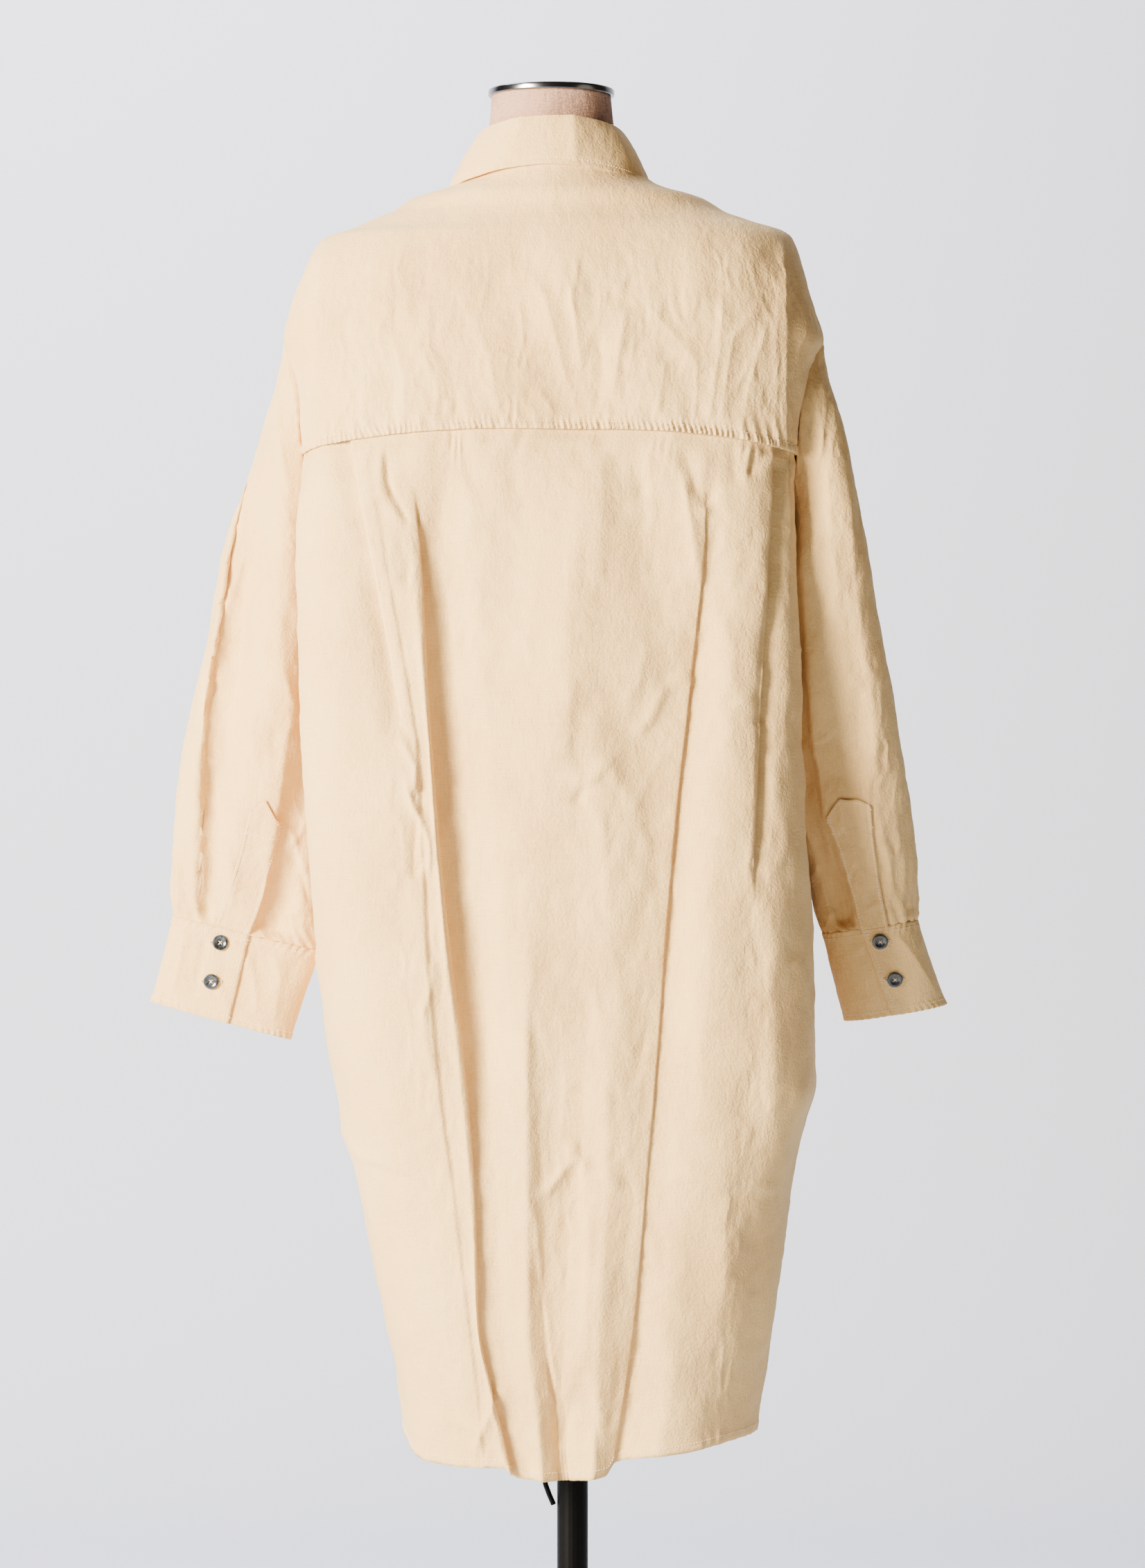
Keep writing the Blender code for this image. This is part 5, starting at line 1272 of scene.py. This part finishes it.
def collar_loop(values, angle, inset):
    row = dict(zip(COLLAR_COLUMNS, values))
    turn = np.sin(angle)
    centre = lerp(row["middle"], front_centre(COLLAR_FRONT), ease(np.maximum(-turn, 0.0)))
    x = centre + (row["half_width"] - inset) * np.cos(angle)
    y = (np.where(turn >= 0, row["back"], row["front"]) - inset) * turn
    behind = lerp(row["height_side"], row["height_back"], np.maximum(turn, 0.0) ** 2.2)
    if row["height_front"] is None:
        ahead = lerp(row["height_side"], resting_height(x, y) + EDGE_CLEAR, ease(-3 * turn))
    else:
        ahead = lerp(row["height_side"], row["height_front"], 1 - np.abs(np.cos(angle)))
    return np.stack([x, y, np.where(turn >= 0, behind, ahead)], -1)


def collar_point(angle, down, inset=0.0):
    """Points of the fall: down is 0 at the fold and 1 at the outer edge."""
    fold, edge = collar_loop(COLLAR_FOLD, angle, inset), collar_loop(COLLAR_EDGE, angle, inset)
    point = lerp(fold, edge, 0.2 * math.sin(down * math.pi / 2) + 0.8 * down)
    point[..., 2] = lerp(fold[..., 2], edge[..., 2], down ** 1.15)
    return point


start, end = -math.pi / 2 + COLLAR_OPENING, 3 * math.pi / 2 - COLLAR_OPENING
rows = []
for down in spread(np.array([1.0, 0.35, 0.0]), (22, 14)):
    t = np.linspace(0, 1, 260)
    slant = POINT_SLANT * down * (1 - ease(np.minimum(t, 1 - t) * 4))
    rows.append(collar_point(lerp(start, end, t) + np.where(t < 0.5, slant, -slant), down))
grid = np.array(rows)
relief = pressed(grid, COLLAR_CREASES) * (grid[..., 1] > 0) + washed(grid, 0.35)
relief -= 0.0003 * bell(edge_distance(grid, "bottom") - 0.0055, 0.0015)
relief += pucker(grid, "bottom", 0.006, 0.00025, 0.007)
collar_points = grid + normals(grid) * relief[..., None]
cloth_piece("collar", collar_points, "collar", wall=COLLAR_WALL)

# The stand runs from the neckline up inside the fold, its right end over its left.
rows = []
front = -math.pi / 2
angle = spread(np.array([front - STAND_LAP, front + STAND_LAP, front + 2 * math.pi + STAND_LAP]), (14, 190))
foot = cloth_point(angle, neckline(angle))
top = collar_point(angle, 0.0, 0.0020)
top[:, 2] -= STAND_GAP
for up in np.linspace(0, 1, 16):
    row = lerp(foot, top, up)
    row[:, 1] += STAND_GAP * (1 - ease((angle - angle[0] - STAND_LAP) / (STAND_LAP * 2)))
    rows.append(row)
stand_points = np.array(rows)
cloth_piece("collar_stand", stand_points, "collar_stand", wall=0.0012)

# ---- Topstitching ----
# Single rows of cotton thread, a little paler than the cloth, about ten stitches to the inch.
# Each stitch dips into the cloth at both ends.
STITCH_PITCH = 0.0026
STITCH_LENGTH = 0.0021
THREAD_WIDTH = 0.00070
thread_material, thread_tree, thread_shader = new_material("ecru_cotton_thread")
twist = add_node(thread_tree, "ShaderNodeTexNoise", {"Scale": 2500.0, "Detail": 1.0},
                 Vector=(add_node(thread_tree, "ShaderNodeTexCoord"), "Object"))
twist_bump = add_node(thread_tree, "ShaderNodeBump", {"Strength": 0.3, "Distance": 0.0002},
                      Height=(twist, "Fac"))
thread_tree.links.new(twist_bump.outputs["Normal"], thread_shader.inputs["Normal"])
thread_shader.inputs["Base Color"].default_value = to_linear("#f6e3c2")
thread_shader.inputs["Roughness"].default_value = 0.7
thread_shader.inputs["Sheen Weight"].default_value = 0.15


def stitch_tree():
    """Stitches along a line of edges, turned to its tangent and to its "out" attribute."""
    tree = bpy.data.node_groups.new("stitches", "GeometryNodeTree")
    sockets = tree.interface
    sockets.new_socket("Line", in_out="INPUT", socket_type="NodeSocketGeometry")
    for name in ("Pitch", "Length", "Width", "Height"):
        sockets.new_socket(name, in_out="INPUT", socket_type="NodeSocketFloat")
    sockets.new_socket("Stitches", in_out="OUTPUT", socket_type="NodeSocketGeometry")
    given = add_node(tree, "NodeGroupInput")
    curve = add_node(tree, "GeometryNodeMeshToCurve", None, Mesh=(given, "Line"))
    even = add_node(tree, "GeometryNodeResampleCurve", {"mode": "LENGTH"}, Curve=(curve, "Curve"),
                    Length=(given, "Pitch"))
    bead = add_node(tree, "GeometryNodeMeshUVSphere", {"Segments": 6, "Rings": 4, "Radius": 0.5})
    tangent = add_node(tree, "GeometryNodeInputTangent")
    away = add_node(tree, "GeometryNodeInputNamedAttribute", {"data_type": "FLOAT_VECTOR", "Name": "out"})
    along = add_node(tree, "FunctionNodeAlignRotationToVector", {"axis": "X"}, Vector=(tangent, "Tangent"))
    turned_out = add_node(tree, "FunctionNodeAlignRotationToVector", {"axis": "Z", "pivot_axis": "X"},
                          Rotation=(along, "Rotation"), Vector=(away, "Attribute"))
    size = add_node(tree, "ShaderNodeCombineXYZ", None,
                    X=(given, "Length"), Y=(given, "Width"), Z=(given, "Height"))
    placed = add_node(tree, "GeometryNodeInstanceOnPoints", None,
                      Points=(even, "Curve"), Instance=(bead, "Mesh"),
                      Rotation=(turned_out, "Rotation"), Scale=(size, "Vector"))
    real = add_node(tree, "GeometryNodeRealizeInstances", None, Geometry=(placed, "Instances"))
    dyed = add_node(tree, "GeometryNodeSetMaterial", {"Material": thread_material},
                    Geometry=(real, "Geometry"))
    add_node(tree, "NodeGroupOutput", None, Stitches=(dyed, "Geometry"))
    return tree


stitches = stitch_tree()


def stitched(name, lines, pitch=STITCH_PITCH, length=STITCH_LENGTH, width=THREAD_WIDTH):
    """Rows of stitches along lines, each an array of points and one of directions out of the cloth."""
    points = np.concatenate([line for line, _ in lines])
    outs = np.concatenate([out for _, out in lines])
    edges, first = [], 0
    for line, _ in lines:
        edges += [(first + i, first + i + 1) for i in range(len(line) - 1)]
        first += len(line)
    mesh = bpy.data.meshes.new(name)
    mesh.from_pydata(points, edges, [])
    mesh.attributes.new("out", "FLOAT_VECTOR", "POINT").data.foreach_set("vector", outs.reshape(-1))
    guide = linked(name + "_guide", mesh)
    sewing = guide.modifiers.new("Stitches", "NODES")
    sewing.node_group = stitches
    for socket, value in zip(stitches.interface.items_tree, (None, None, pitch, length, width, width)):
        if value is not None:
            sewing[socket.identifier] = value
    sewn = bpy.data.meshes.new_from_object(guide.evaluated_get(bpy.context.evaluated_depsgraph_get()))
    bpy.data.objects.remove(guide)
    sewn.shade_smooth()
    piece = linked(name, sewn)
    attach(piece, "root")


def row_beside(points, edge, away, trim=(0, None), lift=0.00012):
    """A line on a panel at a distance from one of its edges, and the panel's normals along it."""
    out = normals(points)
    if edge in ("bottom", "top"):
        points, out = points.transpose(1, 0, 2), out.transpose(1, 0, 2)
    if edge in ("right", "top"):
        points, out = points[:, ::-1], out[:, ::-1]
    run = edge_distance(points, "left")
    line = np.array([[np.interp(away, d, p[:, k]) for k in range(3)] for d, p in zip(run, points)])
    outs = np.array([[np.interp(away, d, n[:, k]) for k in range(3)] for d, n in zip(run, out)])
    cut = slice(*trim)
    return line[cut] + outs[cut] * lift, outs[cut]


lines = [
    row_beside(yoke_points, "bottom", 0.0068),
    row_beside(back_points, "bottom", HEM_TURN - 0.001),
    row_beside(collar_points, "bottom", 0.0055),
    row_beside(collar_points, "left", 0.0055),
    row_beside(collar_points, "right", 0.0055),
    row_beside(band, "left", 0.0025, (6, -6)),
    row_beside(band, "right", 0.0030, (6, -6)),
    row_beside(stand_points, "bottom", 0.0030),
]
for side in SLEEVE_RINGS:
    lines += [
        row_beside(front_points[side], "bottom", HEM_TURN - 0.001),
        row_beside(cuff_points[side], "bottom", 0.0055),
        row_beside(cuff_points[side], "top", 0.0050),
        row_beside(cuff_points[side], "left" if side == "right" else "right", 0.0045),
        row_beside(placket_points[side], "left", 0.0022),
        row_beside(placket_points[side], "right", 0.0022),
        row_beside(placket_points[side], "top", 0.0030),
        row_beside(placket_points[side], "bottom", 0.0850),
    ]
stitched("topstitching", lines)

# ---- Buttons ----
# Dark mother-of-pearl with a raised rim and four holes, sewn on with a cross of ecru thread.
BUTTON_RADIUS = 0.0064
BUTTON_THICKNESS = 0.0024
BUTTON_WELL = 0.0008     # depth of the hollow inside the rim
BUTTON_SHANK = 0.0007    # of thread between the cloth and the button
HOLE_RADIUS = 0.00085
HOLE_OUT = 0.00165
HOLE_HALF_LENGTH = 0.0085        # of the buttonhole's ring of stitches
HOLE_HALF_WIDTH = 0.0011
pearl, pearl_tree, pearl_shader = new_material("dark_mother_of_pearl")
swirl = add_node(pearl_tree, "ShaderNodeTexNoise", {"Scale": 190.0, "Detail": 3.0, "Distortion": 1.8},
                 Vector=(add_node(pearl_tree, "ShaderNodeTexCoord"), "Object"))
hues = add_node(pearl_tree, "ShaderNodeValToRGB", None, _0=(swirl, "Fac"))
hues.color_ramp.elements[0].position = 0.35
hues.color_ramp.elements[0].color = to_linear("#0c0f12")
hues.color_ramp.elements[1].position = 0.68
hues.color_ramp.elements[1].color = to_linear("#3c444c")
pearl_tree.links.new(hues.outputs["Color"], pearl_shader.inputs["Base Color"])
pearl_shader.inputs["Roughness"].default_value = 0.22
pearl_shader.inputs["IOR"].default_value = 1.53
pearl_shader.inputs["Coat Weight"].default_value = 0.3
pearl_shader.inputs["Coat Roughness"].default_value = 0.12


def revolved(profile, steps):
    """A mesh turned about the z axis from radii and heights, from the top down."""
    mesh = bpy.data.meshes.new("turning")
    mesh.from_pydata([(r, 0.0, z) for r, z in profile], [(i, i + 1) for i in range(len(profile) - 1)], [])
    rough = linked("turning", mesh)
    screw = rough.modifiers.new("Turn", "SCREW")
    screw.steps = screw.render_steps = steps
    screw.use_merge_vertices = True
    screw.merge_threshold = 0.00001
    solid = bpy.data.meshes.new_from_object(rough.evaluated_get(bpy.context.evaluated_depsgraph_get()))
    bpy.data.objects.remove(rough)
    return solid


def drilled_button():
    half = BUTTON_THICKNESS / 2
    well = half - BUTTON_WELL
    blank = linked("button_blank", revolved(
        ((0.0, well), (BUTTON_RADIUS * 0.50, half - 0.0007), (BUTTON_RADIUS * 0.66, half - 0.0001),
         (BUTTON_RADIUS * 0.78, half), (BUTTON_RADIUS * 0.93, half - 0.0002), (BUTTON_RADIUS, well),
         (BUTTON_RADIUS * 0.97, -half * 0.4), (BUTTON_RADIUS * 0.80, -half), (0.0, -half)), 40))
    drills = []
    for corner in range(4):
        turn = math.pi / 4 + corner * math.pi / 2
        drill = linked("drill", revolved(
            ((0.0, 0.004), (HOLE_RADIUS, 0.004), (HOLE_RADIUS, -0.004), (0.0, -0.004)), 14))
        drill.data.transform(Matrix.Translation((HOLE_OUT * math.cos(turn), HOLE_OUT * math.sin(turn), 0.0)))
        cut = blank.modifiers.new("Hole", "BOOLEAN")
        cut.object = drill
        cut.operation = "DIFFERENCE"
        drills.append(drill)
    mesh = bpy.data.meshes.new_from_object(blank.evaluated_get(bpy.context.evaluated_depsgraph_get()))
    for thing in (blank, *drills):
        bpy.data.objects.remove(thing)
    mesh.materials.clear()
    mesh.materials.append(pearl)
    mesh.shade_smooth()
    mesh.set_sharp_from_angle(angle=math.radians(38))
    return mesh


button_mesh = drilled_button()
surfaces = {"left_cuff": cuff_points["left"], "right_cuff": cuff_points["right"], "front": band}
thread_lines, hole_lines = [], []
for node in sorted(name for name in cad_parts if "button_" in name and name != "button_band"):
    low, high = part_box(node)
    middle = np.array((low + high) / 2)
    surface = stand_points if node == "front_button_1" else surfaces[node.split("_button")[0]]
    out = normals(surface).reshape(-1, 3)
    flat = surface.reshape(-1, 3)
    place = np.argmin(np.linalg.norm(flat - middle, axis=1))
    z = Vector(out[place]).normalized()
    across = Vector((1.0, 0.0, 0.0)) if node.startswith("front") else Vector((z.y, -z.x, 0.0))
    x = (across - across.dot(z) * z).normalized()
    y = z.cross(x)
    offset = Vector(middle - flat[place])
    seat = Vector(middle) - z * offset.dot(z)
    turn = Matrix((x, y, z)).transposed().to_4x4()
    mesh = button_mesh.copy()
    mesh.transform(Matrix.Translation(seat + z * (BUTTON_THICKNESS / 2 + BUTTON_SHANK)) @ turn)
    piece = linked(node + "_pearl", mesh)
    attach(piece, "root")
    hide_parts(node)
    # Two crossing strands between opposite holes, and a buttonhole that runs out from under the rim.
    top = BUTTON_THICKNESS + BUTTON_SHANK - BUTTON_WELL
    for corner in (0, 1):
        a = math.pi / 4 + corner * math.pi / 2
        ends = [seat + z * top + (x * math.cos(a) + y * math.sin(a)) * HOLE_OUT * way for way in (-1, 1)]
        strand = np.array([ends[0], (ends[0] + ends[1]) / 2 + z * 0.0003 * (corner + 1), ends[1]])
        thread_lines.append((strand, np.tile(np.array(z), (3, 1))))
    loop = []
    for t in np.linspace(0, 2 * math.pi, 40):
        bow = power(math.sin(t), 0.35)
        loop.append(seat + x * (HOLE_HALF_LENGTH * math.cos(t)) + y * (HOLE_HALF_WIDTH * bow) + z * 0.0003)
    hole_lines.append((np.array(loop), np.tile(np.array(z), (40, 1))))
stitched("button_threads", thread_lines, pitch=0.00045, length=0.0009, width=0.0007)
stitched("buttonhole_stitching", hole_lines, pitch=0.00055, length=0.00050, width=0.0014)

# ---- Form ----
# A limbless form of moulded board covered in natural linen, closed by a metal cap at the neck.
LINEN_LIT = "#b8917a"
LINEN_SLUB = "#7c594a"
linen = woven("natural_linen_canvas", LINEN_LIT, LINEN_SLUB, 0.5)
# The linen's threads stand out more than the cotton's, so its ramp is steeper.
for ramp in [node for node in linen.node_tree.nodes if node.bl_idname == "ShaderNodeValToRGB"]:
    ramp.color_ramp.elements[0].position = 0.42
    ramp.color_ramp.elements[1].position = 0.56
FORM_TOP = 1.4640
heights = spread(np.array([0.700, 1.28, 1.412, FORM_TOP]), (60, 40, 26))
angles = np.linspace(0, 2 * math.pi, 96, endpoint=False)
rows = []
for height in heights:
    x, y = on_section(form_section(height), angles)
    rows.append(np.stack([x, y, np.full_like(x, height)], -1))
grid = np.array(rows)
mesh = panel_mesh("linen_form", grid, closed=True)
shape = bmesh.new()
shape.from_mesh(mesh)
shape.verts.ensure_lookup_table()
columns = len(angles)
shape.faces.new([shape.verts[c] for c in range(columns)][::-1])
shape.faces.new([shape.verts[len(shape.verts) - columns + c] for c in range(columns)])
shape.to_mesh(mesh)
shape.free()
mesh.materials.append(linen)
form = linked("linen_form", mesh)
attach(form, "root")
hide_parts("form")

# ---- Metalwork ----
# A pressed neck cap with a chromed rim, and a tube, clamp and base with satin black enamel.
chrome, _, chrome_shader = new_material("chromed_steel")
chrome_shader.inputs["Base Color"].default_value = to_linear("#74777c")
chrome_shader.inputs["Metallic"].default_value = 1.0
chrome_shader.inputs["Roughness"].default_value = 0.20

enamel, enamel_tree, enamel_shader = new_material("satin_black_enamel")
grit = add_node(enamel_tree, "ShaderNodeTexNoise", {"Scale": 900.0, "Detail": 2.0},
                Vector=(add_node(enamel_tree, "ShaderNodeTexCoord"), "Object"))
grain = add_node(enamel_tree, "ShaderNodeBump", {"Strength": 0.10, "Distance": 0.0004}, Height=(grit, "Fac"))
enamel_tree.links.new(grain.outputs["Normal"], enamel_shader.inputs["Normal"])
enamel_shader.inputs["Base Color"].default_value = to_linear("#020202")
enamel_shader.inputs["Roughness"].default_value = 0.45
enamel_shader.inputs["Specular IOR Level"].default_value = 0.08

CAP_RADIUS = 0.0518
CAP_NECK_RADIUS = 0.0470
CAP_MIDDLE = 0.0174
CAP_ROUND = 0.0018
RIM_HEIGHT = 0.0058
RIM_ROUND = 0.0012
CAP_DISH = 0.0010
CAP_SINKS = 0.006        # how much lower than in the CAD model the cap sits
cap_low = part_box("neck_cap")[0].z - CAP_SINKS
cap_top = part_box("neck_cap")[1].z - CAP_SINKS
rim = [(CAP_RADIUS - CAP_ROUND + CAP_ROUND * math.sin(a), cap_top - CAP_ROUND + CAP_ROUND * math.cos(a))
       for a in np.linspace(0, math.pi / 2, 7)]
rim_low = cap_top - RIM_HEIGHT
foot = [(CAP_RADIUS - RIM_ROUND + RIM_ROUND * math.cos(a), rim_low + RIM_ROUND - RIM_ROUND * math.sin(a))
        for a in np.linspace(0, math.pi / 2, 5)]
dish = [(0.0, cap_top - CAP_DISH), (CAP_RADIUS - 0.0060, cap_top - CAP_DISH), (CAP_RADIUS - 0.0045, cap_top)]
neck = [(CAP_NECK_RADIUS, rim_low), (CAP_NECK_RADIUS, cap_low), (0.0, cap_low)]
mesh = revolved([*dish, *rim, *foot, *neck], 96)
mesh.transform(Matrix.Translation((CAP_MIDDLE, 0.0, 0.0)))
mesh.materials.clear()
mesh.materials.append(chrome)
mesh.shade_smooth()
mesh.set_sharp_from_angle(angle=math.radians(35))
cap = linked("chrome_neck_cap", mesh)
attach(cap, "root")
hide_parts("neck_cap")
for node in ("pole", "base", "clamp_ring", "clamp_lever"):
    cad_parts[node].material_slots[0].material = enamel
